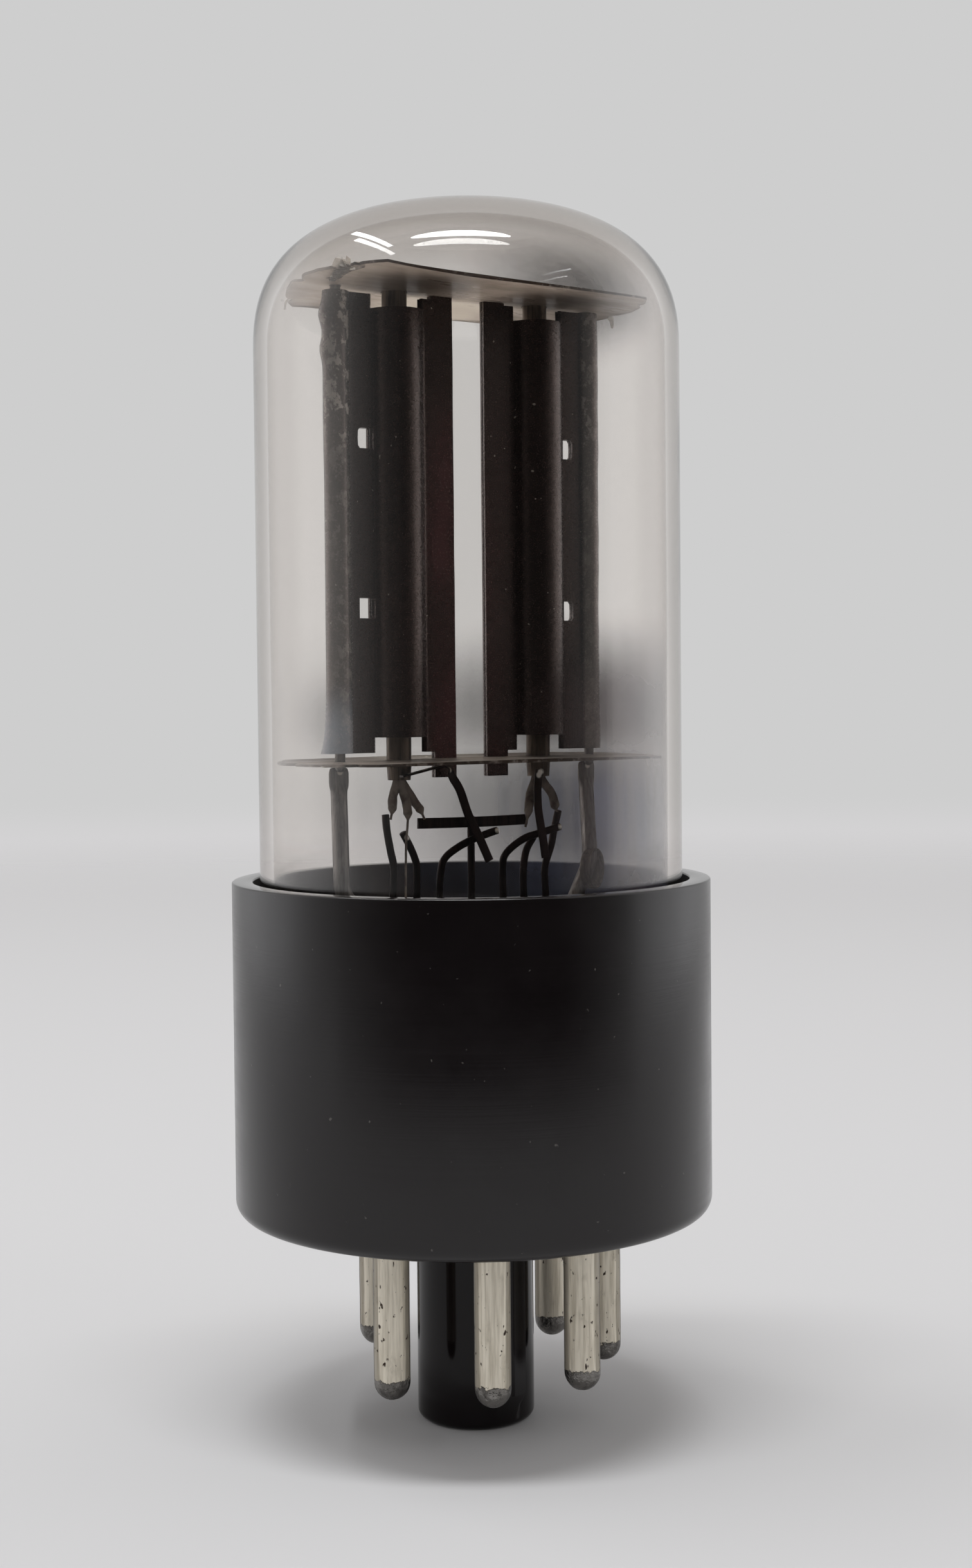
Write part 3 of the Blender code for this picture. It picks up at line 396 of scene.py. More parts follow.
def wire(name, points, radius, material, replaces=(), broad=(0, 1, 0), per_span=8):
    """A round wire with softly rounded ends and a little unevenness."""
    path = smooth_path(points, per_span)
    ends = [path[0] + (path[0] - path[1]).normalized() * radius * 0.1]
    ends.append(path[-1] + (path[-1] - path[-2]).normalized() * radius * 0.1)
    path = [ends[0]] + path + [ends[1]]
    sizes = [radius * (1 + 0.04 * wobble(p, 0.6 * MM, radius / MM)) for p in path]
    sizes[0] = sizes[-1] = radius * 0.88
    shape = bmesh.new()
    sweep(shape, path, [(s, s) for s in sizes], broad, 14)
    return place_piece(name, shape, material, replaces, 60)


def climb(height):
    """A height above the glass press, given in millimetres."""
    return PRESS_TOP + height * MM


def at(x, y, height):
    """A point given in millimetres across, deep and above the press."""
    return Vector((x * MM, y * MM, climb(height)))


# Finishes


def let_light_through(tree, shader):
    """Glass casts no hard shadow: lamps reach what is inside it."""
    shadow = add_node(tree, "LightPath", out="Is Shadow Ray")
    clear = add_node(tree, "BsdfTransparent", (0.97, 0.965, 0.955))
    set_surface(tree, shader.outputs[0], clear, shadow)


def blown_glass(name, colours, reflection):
    """Soda-lime glass, blown: clear, smoky where the wall is seen at a slant, and waved slightly."""
    material, tree, shader, place = new_material(name)
    slant = add_node(tree, "LayerWeight", 0.5, out="Facing")
    thick = add_node(tree, "MapRange", slant, 0.1, 0.95, 0.0, 1.0)
    waves = grain(tree, place, 9 * MM, (1, 1, 2), 1.0)
    inputs = {
        "Base Color": cover(tree, colours.glass, "#a2978c", thick), "Transmission Weight": 1.0,
        "IOR": GLASS_IOR, "Roughness": 0.0, "Specular IOR Level": reflection,
    }
    set_shader(tree, shader, inputs, (waves, 0.05 * MM, 0.5))
    let_light_through(tree, shader)
    return material


def pressed_glass(colours):
    """The same glass, flared and pinched while soft: rippled where the pliers closed on it."""
    material, tree, shader, place = new_material("pressed_soda_lime_glass")
    ripples = grain(tree, place, 1.6 * MM, (1, 1, 0.6), 2.0)
    inputs = {"Base Color": colours.glass, "Transmission Weight": 1.0, "IOR": GLASS_IOR, "Roughness": 0.03}
    set_shader(tree, shader, inputs, (ripples, 0.12 * MM, 0.6))
    let_light_through(tree, shader)
    return material


def getter_film(colours, patches):
    """Getter metal flashed onto the glass: a smoky grey mirror that thins out to nothing, with a
    faint pink rim. Each patch has a middle, a reach round and along the tube, and its density."""
    material, tree, shader, place = new_material("flashed_getter_metal")
    uneven = grain(tree, place, 6 * MM, (1, 1, 2.0), 2.0)
    streaks = grain(tree, place, 1.8 * MM, (1, 1, 14), 2.0, 0.5, 7.0)
    density = 0.0
    for (x, y, z), reach, upward, most in patches:
        scale = (1 / reach, 1 / reach, 1 / upward)
        offset = (-x / reach, -y / reach, -z / upward)
        moved = add_node(tree, "Mapping", {"Vector": place, "Scale": scale, "Location": offset})
        veil = mask(tree, (distance(tree, moved, (0, 0, 0), uneven, 0.2), 0.25, 1.5, most, 0.0))
        density = add_node(tree, "Math", density, veil, operation="MAXIMUM")
    density = mask(tree, density, (streaks, 0.3, 0.7, 0.9, 1.0))
    height = add_node(tree, "SeparateXYZ", place, out=2)
    low = (height, climb(8), climb(13), 1, 0)
    base = cover(tree, colours.film, "#5f6780", low, (streaks, 0.35, 0.65, 0.4, 1.0))
    base = cover(tree, base, "#9a7c7c", (density, 0.04, 0.3, 0.8, 0))
    set_shader(tree, shader, {"Base Color": base, "Metallic": 0.6, "Roughness": 0.4, "Alpha": density})
    return material


def moulded_phenolic(name, colours, reflection, is_post):
    """Phenolic, compression moulded. The shell is turned satin black with hair-fine rings, drawn
    coarser than real so that they show. The post keeps the mould's gloss."""
    material, tree, shader, place = new_material(name)
    mottle = grain(tree, place, 4 * MM, (1, 1, 1), 4.0)
    base = cover(tree, colours.phenolic, "#170f10", mottle, 0.5)
    if is_post:
        set_shader(tree, shader, {"Base Color": base, "Roughness": 0.11, "Specular IOR Level": reflection})
        return material
    height = add_node(tree, "SeparateXYZ", place, out=2)
    rings = grain(tree, place, 0.18 * MM, (90, 90, 1), 2.0, 0.7)
    dust = grain(tree, place, 0.35 * MM, (1, 1, 1), 1.0, 0.5, 3.0)
    base = cover(tree, base, "#8b8782", (dust, 0.76, 0.82, 0, 0.25))
    normal = add_node(tree, "NewGeometry", out="Normal")
    upward = add_node(tree, "SeparateXYZ", normal, out=2)
    top_edge = mask(tree, (upward, 0.7, 0.9), (height, BASE_HIGH.z - 0.6 * MM, BASE_HIGH.z - 0.4 * MM))
    satin = add_node(tree, "Math", rings, 0.35, mottle, **TIMES_PLUS)
    matt = mask(tree, (satin, 0.3, 1.0, 0.17, 0.27), (top_edge, 0, 1, 1, 0.4))
    inward = add_node(tree, "VectorMath", normal, place, operation="DOT_PRODUCT")
    bore = mask(tree, (inward, -2 * MM, 2 * MM, 1, 0), (height, SEAT + 1.5 * MM, SEAT + 2 * MM), 0.75)
    matt = add_node(tree, "Math", matt, bore, operation="MAXIMUM")
    inputs = {"Base Color": base, "Roughness": matt, "Specular IOR Level": reflection}
    set_shader(tree, shader, inputs, (rings, 0.004 * MM, 0.5))
    return material


def tinned_brass(sizes, colours):
    """Brass tube, drawn and hot-dipped in tin: dull warm silver with draw lines and dark pits, closed at the
    tip by a rough bead of grey solder. Painted shade darkens the tin towards each pin's outline."""
    material, tree, shader, place = new_material("hot_tinned_brass")
    height = add_node(tree, "SeparateXYZ", place, out=2)
    slant = add_node(tree, "LayerWeight", 0.5, out="Facing")
    lines = grain(tree, place, 0.22 * MM, (1, 1, 18), 3.0, 0.6)
    patches = grain(tree, place, 1.1 * MM, (1, 1, 2), 4.0, 0.6)
    specks = grain(tree, place, 0.3 * MM, (1, 1, 1.8), 2.0, 0.5, 5.0)
    ragged = grain(tree, place, 0.55 * MM, (1, 1, 1), 3.0, 0.6, 2.0)
    pits = mask(tree, (specks, 0.66, 0.72))
    edge = add_node(tree, "Math", ragged, 1.1 * MM, height, **TIMES_PLUS)
    rim = PIN_LOW.z + sizes.solder_height + 0.55 * MM
    is_solder = mask(tree, (edge, rim - 0.05 * MM, rim + 0.05 * MM, 1.0, 0.0))
    # Painted shade: turned is how far the surface has turned away from the view, plus a little of the draw
    # lines; the tin is painted darker at the sides and darkest at the outline.
    turned = add_node(tree, "Math", lines, 0.12, slant, **TIMES_PLUS)
    tin = cover(tree, colours.tin, "#cdc4b2", (lines, 0.35, 0.75))
    tin = cover(tree, tin, "#8d8473", (patches, 0.55, 0.8, 0, 0.55))
    tin = cover(tree, tin, "#6f6656", (turned, 0.34, 0.46, 0, 0.6))
    tin = cover(tree, tin, "#3a342c", (turned, 0.66, 0.98, 0, 0.85))
    tin = cover(tree, tin, "#3f3026", pits)
    bead = cover(tree, colours.solder, "#4d4a47", (patches, 0.3, 0.7))
    dull = mask(tree, (patches, 0.3, 0.8, 0.42, 0.58))
    rise = add_node(tree, "Math", lines, 0.5, mask(tree, pits, -1.0), **TIMES_PLUS)
    lumps = add_node(tree, "Math", ragged, 6.0, 1.5, **TIMES_PLUS)
    rise = add_node(tree, "Math", is_solder, lumps, rise, **TIMES_PLUS)
    inputs = {
        "Base Color": cover(tree, tin, bead, is_solder),
        "Roughness": add_node(tree, "Math", is_solder, -0.2, dull, **TIMES_PLUS),
        "Metallic": mask(tree, (is_solder, 0, 1, 0.45, 0.9)),
    }
    set_shader(tree, shader, inputs, (rise, 0.03 * MM, 0.9))
    return material


def carbonised_nickel(colours):
    """Nickel sheet, carbonised: sooty near-black with a faint brown-red cast and a dull sheen.
    White specks of dust lie on it, and the coating has chipped to grey along the wraps."""
    material, tree, shader, place = new_material("carbonised_nickel_sheet")
    soot = grain(tree, place, 0.12 * MM, (1, 1, 1), 4.0, 0.7)
    clouds = grain(tree, place, 5 * MM, (1, 1, 2.5), 3.0)
    specks = grain(tree, place, 0.26 * MM, (1, 1, 1), 0.0, 0.5, 8.0)
    flaws = grain(tree, place, 0.9 * MM, (1, 1, 1.3), 4.0, 0.75, 12.0)
    x, height = (add_node(tree, "SeparateXYZ", place, out=axis) for axis in (0, 2))
    across = add_node(tree, "Math", x, operation="ABSOLUTE")
    seam = add_node(tree, "Math", across, ROD_PLACE - WRAP_RADIUS, operation="SUBTRACT")
    on_wrap = mask(tree, (seam, 0.0, 0.25 * MM))
    near_seam, on_left = (seam, 0.4 * MM, 1.5 * MM, 1, 0.3), (x, -1 * MM, 1 * MM, 1, 0.3)
    upper = (height, PLATE_HEAD - 11 * MM, PLATE_HEAD - 7 * MM, 0.25, 1)
    chips = mask(tree, (flaws, 0.5, 0.58), on_wrap, near_seam, upper, on_left)
    at_foot = (height, PLATE_FOOT + 1 * MM, PLATE_FOOT + 5 * MM, 0.8, 0)
    flare = mask(tree, at_foot, on_wrap, (x, -1 * MM, 1 * MM, 1, 0))
    most = mask(tree, (x, -1 * MM, 1 * MM, 0.8, 0.3))
    below = (height, PLATE_HEAD - 12 * MM, PLATE_HEAD - 4 * MM, 1, 0)
    red = mask(tree, (across, 2.4 * MM, 3.9 * MM, most, 0), (clouds, 0.42, 0.62, 0.3, 1), below)
    base = cover(tree, colours.plate, "#170c0a", (clouds, 0.35, 0.75))
    base = cover(tree, base, "#080505", (soot, 0.3, 0.8, 0, 0.5))
    # The wraps are drawn a lighter grey all over, and the left wrap's flared foot a lighter bluish grey.
    base = cover(tree, base, "#5c5650", on_wrap, 0.55)
    base = cover(tree, base, "#3a1c1f", red)
    base = cover(tree, base, "#8a919b", flare)
    base = cover(tree, base, colours.plate_wear, chips)
    inputs = {
        "Base Color": cover(tree, base, "#7b766f", (specks, 0.82, 0.86)),
        "Roughness": mask(tree, (soot, 0.3, 0.8, 0.2, 0.32)),
        "Specular IOR Level": 0.66, "Specular Tint": linear("#ffe3d9"),
    }
    rise = add_node(tree, "Math", chips, -1.5, soot, **TIMES_PLUS)
    set_shader(tree, shader, inputs, (rise, 0.02 * MM, 0.6))
    return material


def drawn_nickel(name, tint, shade, roughness, seams=()):
    """Nickel wire or rod, drawn and heated: oxide colours in long streaks, bright at the welds, and at
    painted glints on the ribbons' folds and tops.
    """
    material, tree, shader, place = new_material(name)
    streaks = grain(tree, place, 0.25 * MM, (1, 1, 14), 3.0, 0.6)
    scale = grain(tree, place, 0.6 * MM, (1, 1, 2), 3.0, 0.6, 4.0)
    base = cover(tree, tint, shade, (streaks, 0.3, 0.75))
    base = cover(tree, base, [0.35 * c for c in linear(shade)], (scale, 0.55, 0.8, 0, 0.5))
    # Pale spots: weld metal on the leads, sleeves and side leads, and painted glints on the ribbons.
    for point in seams:
        base = cover(tree, base, "#e8e2d8", (distance(tree, place, point), 0.12 * MM, 0.26 * MM, 1, 0))
    dull = mask(tree, (scale, 0.3, 0.8, roughness - 0.08, roughness + 0.12))
    rise = add_node(tree, "Math", streaks, scale, operation="ADD")
    inputs = {"Base Color": base, "Roughness": dull, "Metallic": 0.85}
    set_shader(tree, shader, inputs, (rise, 0.02 * MM, 0.7))
    return material


def alumina_coating(colours):
    """Alumina, sprayed and fired on the heater wire: matt, grainy and lumpy, greyed by use."""
    material, tree, shader, place = new_material("fired_alumina")
    grit = grain(tree, place, 0.1 * MM, (1, 1, 1), 3.0, 0.7)
    stain = grain(tree, place, 0.8 * MM, (1, 1, 1), 3.0)
    base = cover(tree, colours.ceramic, "#5b4f48", (stain, 0.35, 0.7))
    set_shader(tree, shader, {"Base Color": base, "Roughness": 0.85}, (grit, 0.04 * MM, 0.9))
    return material


def let_light_soak(tree, shader, base, clear_tint, share):
    """A thin sheet scatters half of the light onward, and lets a share through unscattered."""
    glow = add_node(tree, "BsdfTranslucent", base)
    sheet = add_node(tree, "MixShader", 0.5, shader.outputs[0], glow)
    clear = add_node(tree, "BsdfTransparent", linear(clear_tint))
    set_surface(tree, sheet, clear, share)


def split_mica(colours):
    """Mica, split from a book and punched: thin smoky sheets that let light through, streaked by flakes and
    dark along the cut edge. Round the cathodes it is darker: partly soot, partly painted shade where it
    mirrors the dark plates."""
    material, tree, shader, place = new_material("split_mica")
    flakes = grain(tree, place, 2.2 * MM, (2.5, 1, 1), 5.0, 0.6)
    broken = grain(tree, place, 0.7 * MM, (1, 1, 1), 4.0, 0.6, 6.0)
    x, y = (add_node(tree, "SeparateXYZ", place, out=axis) for axis in (0, 1))
    off_x, off_y = (add_node(tree, "Math", field, operation="ABSOLUTE") for field in (x, y))
    # Darker round each cathode on both spacers: partly soot, partly painted shade where the mica mirrors the
    # dark plates.
    soot = 0.0
    for side in SIDES.values():
        for level, reach, most in ((UPPER_MICA.z, 7.5 * MM, 0.85), (LOWER_MICA.z, 5.5 * MM, 0.8)):
            point = (side * SLEEVE_PLACE, -2.6 * MM, level)
            veil = mask(tree, (distance(tree, place, point, flakes, 2 * MM), 2 * MM, reach, most, 0.0))
            soot = add_node(tree, "Math", soot, veil, operation="MAXIMUM")
    soot = mask(tree, soot, (y, 0.2 * MM, 1.2 * MM, 1, 0))
    upward = add_node(tree, "SeparateXYZ", add_node(tree, "NewGeometry", out="Normal"), out=2)
    is_edge = mask(tree, (add_node(tree, "Math", upward, operation="ABSOLUTE"), 0.3, 0.8, 1, 0))
    cut = (off_y, 4.8 * MM, 5.4 * MM, 0.2, 1)
    base = cover(tree, colours.mica, "#857a72", (flakes, 0.35, 0.7))
    base = cover(tree, base, "#dcd5cc", (off_x, 2.5 * MM, 6 * MM, 0.8, 0), (y, 0.2 * MM, 1.2 * MM))
    # Soot and painted shade round the cathodes.
    base = cover(tree, base, "#4b423b", soot)
    base = cover(tree, base, "#35281f", is_edge, cut, (broken, 0.3, 0.5, 0.5, 1.0))
    inputs = {"Base Color": base, "Roughness": mask(tree, (flakes, 0.3, 0.7, 0.25, 0.45)), "IOR": 1.58}
    set_shader(tree, shader, inputs, (flakes, 0.03 * MM, 0.5))
    # The cut edge, and the soot and painted shade round the cathodes, let no light straight through.
    edge_soot_and_shade = add_node(tree, "Math", is_edge, soot, operation="MAXIMUM")
    clear_of_edge_soot_and_shade = add_node(tree, "Math", 1.0, edge_soot_and_shade, operation="SUBTRACT")
    let_light_soak(tree, shader, base, "#e9e4dd", mask(tree, clear_of_edge_soot_and_shade, 0.34))
    return material


def frayed_mica():
    """The same mica torn into splinters: the air between the layers turns it white."""
    material, tree, shader, place = new_material("frayed_mica")
    base = cover(tree, linear("#e9e5e0"), "#a79f96", grain(tree, place, 0.3 * MM))
    set_shader(tree, shader, {"Base Color": base, "Roughness": 0.35})
    let_light_soak(tree, shader, base, "#f4f1ee", 0.3)
    return material


def rough_cement(colours):
    """Resin basing cement, baked: brown, porous and matt."""
    material, tree, shader, place = new_material("baked_basing_cement")
    pores = grain(tree, place, 0.5 * MM, (1, 1, 1), 5.0, 0.7)
    base = cover(tree, colours.cement, "#4b3a22", (pores, 0.35, 0.7))
    set_shader(tree, shader, {"Base Color": base, "Roughness": 0.9}, (pores, 0.15 * MM, 0.9))
    return material


# Operators


class TubeOperator:
    """What the tube's operators share: each builds its pieces from the scene's sizes and colours."""

    bl_options = {"REGISTER", "UNDO"}

    def execute(self, context):
        self.build(context.scene.tube_sizes, context.scene.tube_colours)
        return {"FINISHED"}


def dome(radius, height, level, power, steps=28):
    """Half section of the crown, from its top down to the straight wall."""
    points = []
    for i in range(steps + 1):
        turn = math.pi / 2 * (1 - i / steps)
        r = radius * max(math.cos(turn), 0) ** (2 / power)
        points.append((0.0 if i == 0 else r, level + height * math.sin(turn) ** (2 / power)))
    return points


def shoulder(sizes, inset, steps=14):
    """Half section of the bulb's rounded lower edge, from the seal up to the wall."""
    seal = BULB_RADIUS - sizes.shoulder_width
    points = []
    for i in range(steps + 1):
        turn = math.pi / 2 * i / steps
        out = Vector((math.sin(turn) * sizes.shoulder_height, -math.cos(turn) * sizes.shoulder_width))
        out.normalize()
        r = seal + sizes.shoulder_width * math.sin(turn) - inset * out.x
        z = BULB_LOW.z + sizes.shoulder_height * (1 - math.cos(turn)) - inset * out.y
        points.append((r, z))
    return points


class TUBE_OT_bulb(TubeOperator, bpy.types.Operator):
    """Blown bulb with an even wall, a squarish crown and an open seal"""

    bl_idname = "tube.bulb"
    bl_label = "Bulb"

    def build(self, sizes, colours):
        wall = sizes.glass_wall
        crown = BULB_HIGH.z - sizes.dome_height
        outer = dome(BULB_RADIUS, sizes.dome_height, crown, sizes.dome_power)
        low = shoulder(sizes, 0.0)
        rise = [low[-1][1] + (crown - low[-1][1]) * i / 12 for i in range(1, 12)]
        outer += [(BULB_RADIUS, z) for z in reversed(rise)] + list(reversed(low))
        inner = shoulder(sizes, wall)
        inner[0] = (low[0][0] - wall, BULB_LOW.z)
        inner += [(BULB_RADIUS - wall, z) for z in rise]
        inner += reversed(dome(BULB_RADIUS - wall, sizes.dome_height - wall, crown, sizes.dome_power))
        shape = lathe(outer + inner, 160)
        outside = blown_glass("blown_soda_lime_glass", colours, 0.27)
        bulb = place_piece("bulb", shape, outside, ["glass_bulb"], 50)
        bulb.data.materials.append(blown_glass("blown_soda_lime_glass_inside", colours, 0.13))
        for face in bulb.data.polygons:
            outward = face.normal.xy.dot(face.center.xy) + face.normal.z * (face.center.z - crown)
            face.material_index = int(outward < 0)


class TUBE_OT_getter_film(TubeOperator, bpy.types.Operator):
    """Dark film that the getter left on the inside of the bulb, denser high on the crown's right where it
    also paints a dark reflection
    """

    bl_idname = "tube.getter_film"
    bl_label = "Getter film"

    def build(self, sizes, colours):
        inset = sizes.glass_wall + 0.04 * MM
        radius, height = BULB_RADIUS - inset, sizes.dome_height - inset
        crown = BULB_HIGH.z - sizes.dome_height
        profile = dome(radius, height, crown, sizes.dome_power, 20)
        floor = BULB_LOW.z + sizes.shoulder_height
        profile += [(radius, crown + (floor - crown) * i / 16) for i in range(1, 17)]
        core, below = at(12.6, 3.4, 14.2), at(12.6, 3.4, 7)
        # High on the crown's right the film is drawn denser: partly film, partly a painted dark reflection in
        # the dome.
        crown_film_and_painted_reflection, behind = at(11.4, 1.5, 43.6), at(-3.5, 12.5, 13.6)
        patches = [
            (core, sizes.film_reach, 5.4 * MM, 0.95), (below, sizes.film_reach, 9 * MM, 0.95),
            (crown_film_and_painted_reflection, 8.5 * MM, 4.4 * MM, 0.8), (behind, 6 * MM, 3.4 * MM, 0.38),
        ]
        film = getter_film(colours, patches)
        place_piece("getter_film", lathe(profile, 96), film, (), 60)


def stem_stations(sizes):
    """The stem's sections, up its outside and down its inside: height above the seal, half width,
    half depth, all in millimetres, and how square the section is."""
    rise, rim = (PRESS_TOP - BULB_LOW.z) / MM, STEM_HIGH.x / MM
    press, neck, bore = 9.0, 6.2, 6.2 - sizes.glass_wall / MM
    outer = [
        (rise, press - 0.35, 1.3, 4), (rise - 0.12, press - 0.1, 1.55, 4.5), (rise - 0.35, press, 1.7, 5),
        (rise - 4.3, press, 1.7, 5), (rise - 5.2, press - 0.5, 2.6, 3.4), (rise - 6.4, 7.6, 4.4, 2.5),
        (rise - 8.0, 6.5, 5.9, 2.1), (rise - 9.1, neck, neck, 2), (2.9, 6.3, 6.3, 2), (1.5, 6.9, 6.9, 2),
        (0.6, 7.8, 7.8, 2), (0.12, rim - 0.1, rim - 0.1, 2), (0.0, rim, rim, 2),
    ]
    inner = [
        (0.0, rim - 0.12, rim - 0.12, 2), (0.6, 6.9, 6.9, 2), (1.6, 6.0, 6.0, 2), (3.2, 5.4, 5.4, 2),
        (rise - 9.1, bore, bore, 2), (rise - 7.2, bore, 4.0, 2), (rise - 6.2, 4.0, 2.6, 2),
        (rise - 6.1, 1.9, 1.9, 2),
    ]
    return [(z * MM, wide * MM, deep * MM, power) for z, wide, deep, power in outer + inner]


class TUBE_OT_stem(TubeOperator, bpy.types.Operator):
    """Flared stem, pinched flat round the leads, with its exhaust tube sealed off below"""

    bl_idname = "tube.stem"
    bl_label = "Stem"

    def build(self, sizes, colours):
        stations = stem_stations(sizes)
        tube = 1.9 * MM
        tip = STEM_LOW.z - BULB_LOW.z
        stations += [(tip + 2.2 * MM, tube, tube, 2), (tip + 1.1 * MM, 0.84 * tube, 0.84 * tube, 2)]
        stations += [(tip + 0.4 * MM, 0.5 * tube, 0.5 * tube, 2), (tip, 0.12 * tube, 0.12 * tube, 2)]
        shape = bmesh.new()
        rings = []
        for z, half_wide, half_deep, power in stations:
            ring = rounded_section(half_wide, half_deep, power, 64)
            rings.append([shape.verts.new((x, y, BULB_LOW.z + z)) for x, y in ring])
        skin(shape, rings)
        shape.faces.new(list(reversed(rings[0])))
        shape.faces.new(rings[-1])
        bmesh.ops.recalc_face_normals(shape, faces=shape.faces)
        stem = place_piece("stem", shape, pressed_glass(colours), ["glass_stem"], 50)
        rounding = stem.modifiers.new("softened", "SUBSURF")
        rounding.levels = rounding.render_levels = 1


class TUBE_OT_base(TubeOperator, bpy.types.Operator):
    """Moulded base: turned shell, floor with its pin holes, and the hollow post with its key"""

    bl_idname = "tube.base"
    bl_label = "Base"

    def build(self, sizes, colours):
        wall, edge, post = sizes.base_wall, sizes.base_edge, sizes.post_radius
        inside, floor, rim = BASE_RADIUS - wall, SEAT + sizes.base_floor, 0.14 * MM
        profile = [(0.0, 0.0)] + arc(post - 0.5 * MM, 0.5 * MM, 0.5 * MM, -90, 0, 6)
        profile += [(post, 1.6 * MM), (post, 2.4 * MM), (post, SEAT - 0.3 * MM)]
        profile += arc(post + 0.25 * MM, SEAT - 0.25 * MM, 0.25 * MM, 180, 90, 3)
        profile += arc(BASE_RADIUS - edge, SEAT + edge, edge, -90, 0, 8)
        profile += arc(BASE_RADIUS - rim, BASE_HIGH.z - rim, rim, 0, 90, 4)
        profile += arc(inside + rim, BASE_HIGH.z - rim, rim, 90, 180, 4)
        profile += [(inside, floor + 0.4 * MM), (inside - 0.4 * MM, floor), (post - sizes.post_wall, floor)]
        profile += [(post - sizes.post_wall, 1.9 * MM), (post - 2 * sizes.post_wall, sizes.post_wall)]
        profile += [(0.0, sizes.post_wall)]

        def with_key(angle, r, z):
            if r < post - 1e-6 or r > post + 0.4 * MM or z > SEAT or z < 1.0 * MM:
                return r
            off = abs(r * math.cos(angle))
            key_half = sizes.key_width / 2 + 0.15 * MM
            if math.sin(angle) > 0 or off > key_half:
                return r
            grow = min(max((z - 1.0 * MM) / (1.4 * MM), 0), 1)
            side = min(max((key_half - off) / (0.3 * MM), 0), 1)
            return r + (sizes.key_reach / abs(math.sin(angle))) * grow * side

        satin = moulded_phenolic("satin_moulded_phenolic", colours, 0.46, False)
        shell = place_piece("base", lathe(profile, 240, radius_at=with_key), satin)
        holes = bmesh.new()
        for number in PINS:
            middle = node_box(f"pin_{number}")[2]
            made = bmesh.ops.create_cone(
                holes, cap_ends=True, segments=48, depth=4 * sizes.base_floor,
                radius1=sizes.pin_radius + CLEARANCE, radius2=sizes.pin_radius + CLEARANCE,
            )["verts"]
            bmesh.ops.translate(holes, vec=(middle.x, middle.y, SEAT + sizes.base_floor / 2), verts=made)
        carve(shell, holes)
        dress(shell, satin, ["base_shell"], 35)
        shell.data.materials.append(moulded_phenolic("glossy_moulded_phenolic", colours, 0.22, True))
        for face in shell.data.polygons:
            face.material_index = int(face.center.z < SEAT and face.center.xy.length < post + sizes.key_reach)


def carve(piece, shape):
    """Cuts a shape out of a piece and keeps the result as the piece's mesh."""
    cutter = add_object("cutter", shape)
    cut = piece.modifiers.new("cut", "BOOLEAN")
    cut.object, cut.solver, cut.operation = cutter, "EXACT", "DIFFERENCE"
    mesh = bake(piece)
    piece.modifiers.clear()
    piece.data = mesh
    bpy.data.objects.remove(cutter, do_unlink=True)


class TUBE_OT_pins(TubeOperator, bpy.types.Operator):
    """Hollow pins with solder at the tip and a lip over the base's floor"""

    bl_idname = "tube.pins"
    bl_label = "Pins"

    def build(self, sizes, colours):
        finish = tinned_brass(sizes, colours)
        radius, bore = sizes.pin_radius, sizes.pin_radius - sizes.pin_wall
        lip_radius = (PIN_HIGH.x - PIN_LOW.x) / 2
        lip = SEAT + sizes.base_floor + CLEARANCE
        tip = PIN_LOW.z
        shaft = [tip + radius + (lip - tip - radius) * i / 34 for i in range(35)]
        for number in PINS:
            _, high, middle = node_box(f"pin_{number}")
            profile = [(0.0, tip)] + arc(0, tip + radius, radius, -86, 0, 12)
            profile += [(radius, z) for z in shaft[1:-1]]
            profile += [(radius, lip), (lip_radius, lip), (lip_radius, high.z), (bore, high.z)]
            profile += [(bore, tip + 1.5 * MM), (0.0, tip + 1.5 * MM)]

            def uneven(angle, r, z, seed=number):
                if z > SEAT or r < bore + 1e-6 and z > tip + 1.4 * MM:
                    return r
                side = (math.cos(angle), math.sin(angle), z / MM * 0.35)
                lump = 0.05 * MM if z < tip + sizes.solder_height else 0.012 * MM
                return r * (1 - 0.01) + lump * wobble(side, 0.7, seed) - 0.2 * lump

            shape = lathe(profile, 40, radius_at=uneven, x=middle.x, y=middle.y)
            place_piece(f"pin_{number}_tinned", shape, finish, [f"pin_{number}"], 50)


class TUBE_OT_base_wiring(TubeOperator, bpy.types.Operator):
    """Cement round the bulb's foot and the wires that run down into the pins"""

    bl_idname = "tube.base_wiring"
    bl_label = "Cement and base wires"

    def build(self, sizes, colours):
        outer = CEMENT_HIGH.x
        under = [p for p in shoulder(sizes, -CLEARANCE, 24) if p[0] > 10.9 * MM and p[1] < CEMENT_HIGH.z]
        wall = [(outer, CEMENT_LOW.z + (CEMENT_HIGH.z - CEMENT_LOW.z) * i / 8) for i in range(9)]
        profile = [(10.9 * MM, CEMENT_LOW.z)] + wall + list(reversed(under))

        def crumbly(angle, r, z):
            if r > outer - 1e-6 or z < CEMENT_LOW.z + 1e-6:
                return r
            return r + 0.12 * MM * (wobble((r * math.cos(angle), r * math.sin(angle), z), 1.2 * MM) - 0.5)

        shape = lathe(profile, 120, closed=True, radius_at=crumbly)
        place_piece("cement", shape, rough_cement(colours), ["base_cement"], 60)
        copper = drawn_nickel("drawn_copper_wire", colours.copper, "#6e4128", 0.35)
        roof = node_box("pin_wire_2")[1].z
        for number in WIRED_PINS:
            middle = node_box(f"pin_{number}")[2]
            out = Vector((middle.x, middle.y, 0))
            over_pin = (PIN_HIGH.z + BULB_LOW.z) / 2
            inside = out.normalized() * 3.6 * MM
            steps = [(0, roof), (0, BULB_LOW.z), (0.35, over_pin), (0.85, over_pin - CLEARANCE)]
            steps += [(1, SEAT + sizes.base_floor), (1, PIN_LOW.z + 1.9 * MM)]
            route = [inside.lerp(out, outward) + Vector((0, 0, z)) for outward, z in steps]
            across = (-out.y, out.x, 0)
            name = f"pin_wire_{number}"
            wire(f"{name}_copper", route, sizes.wire_radius, copper, [name], across)


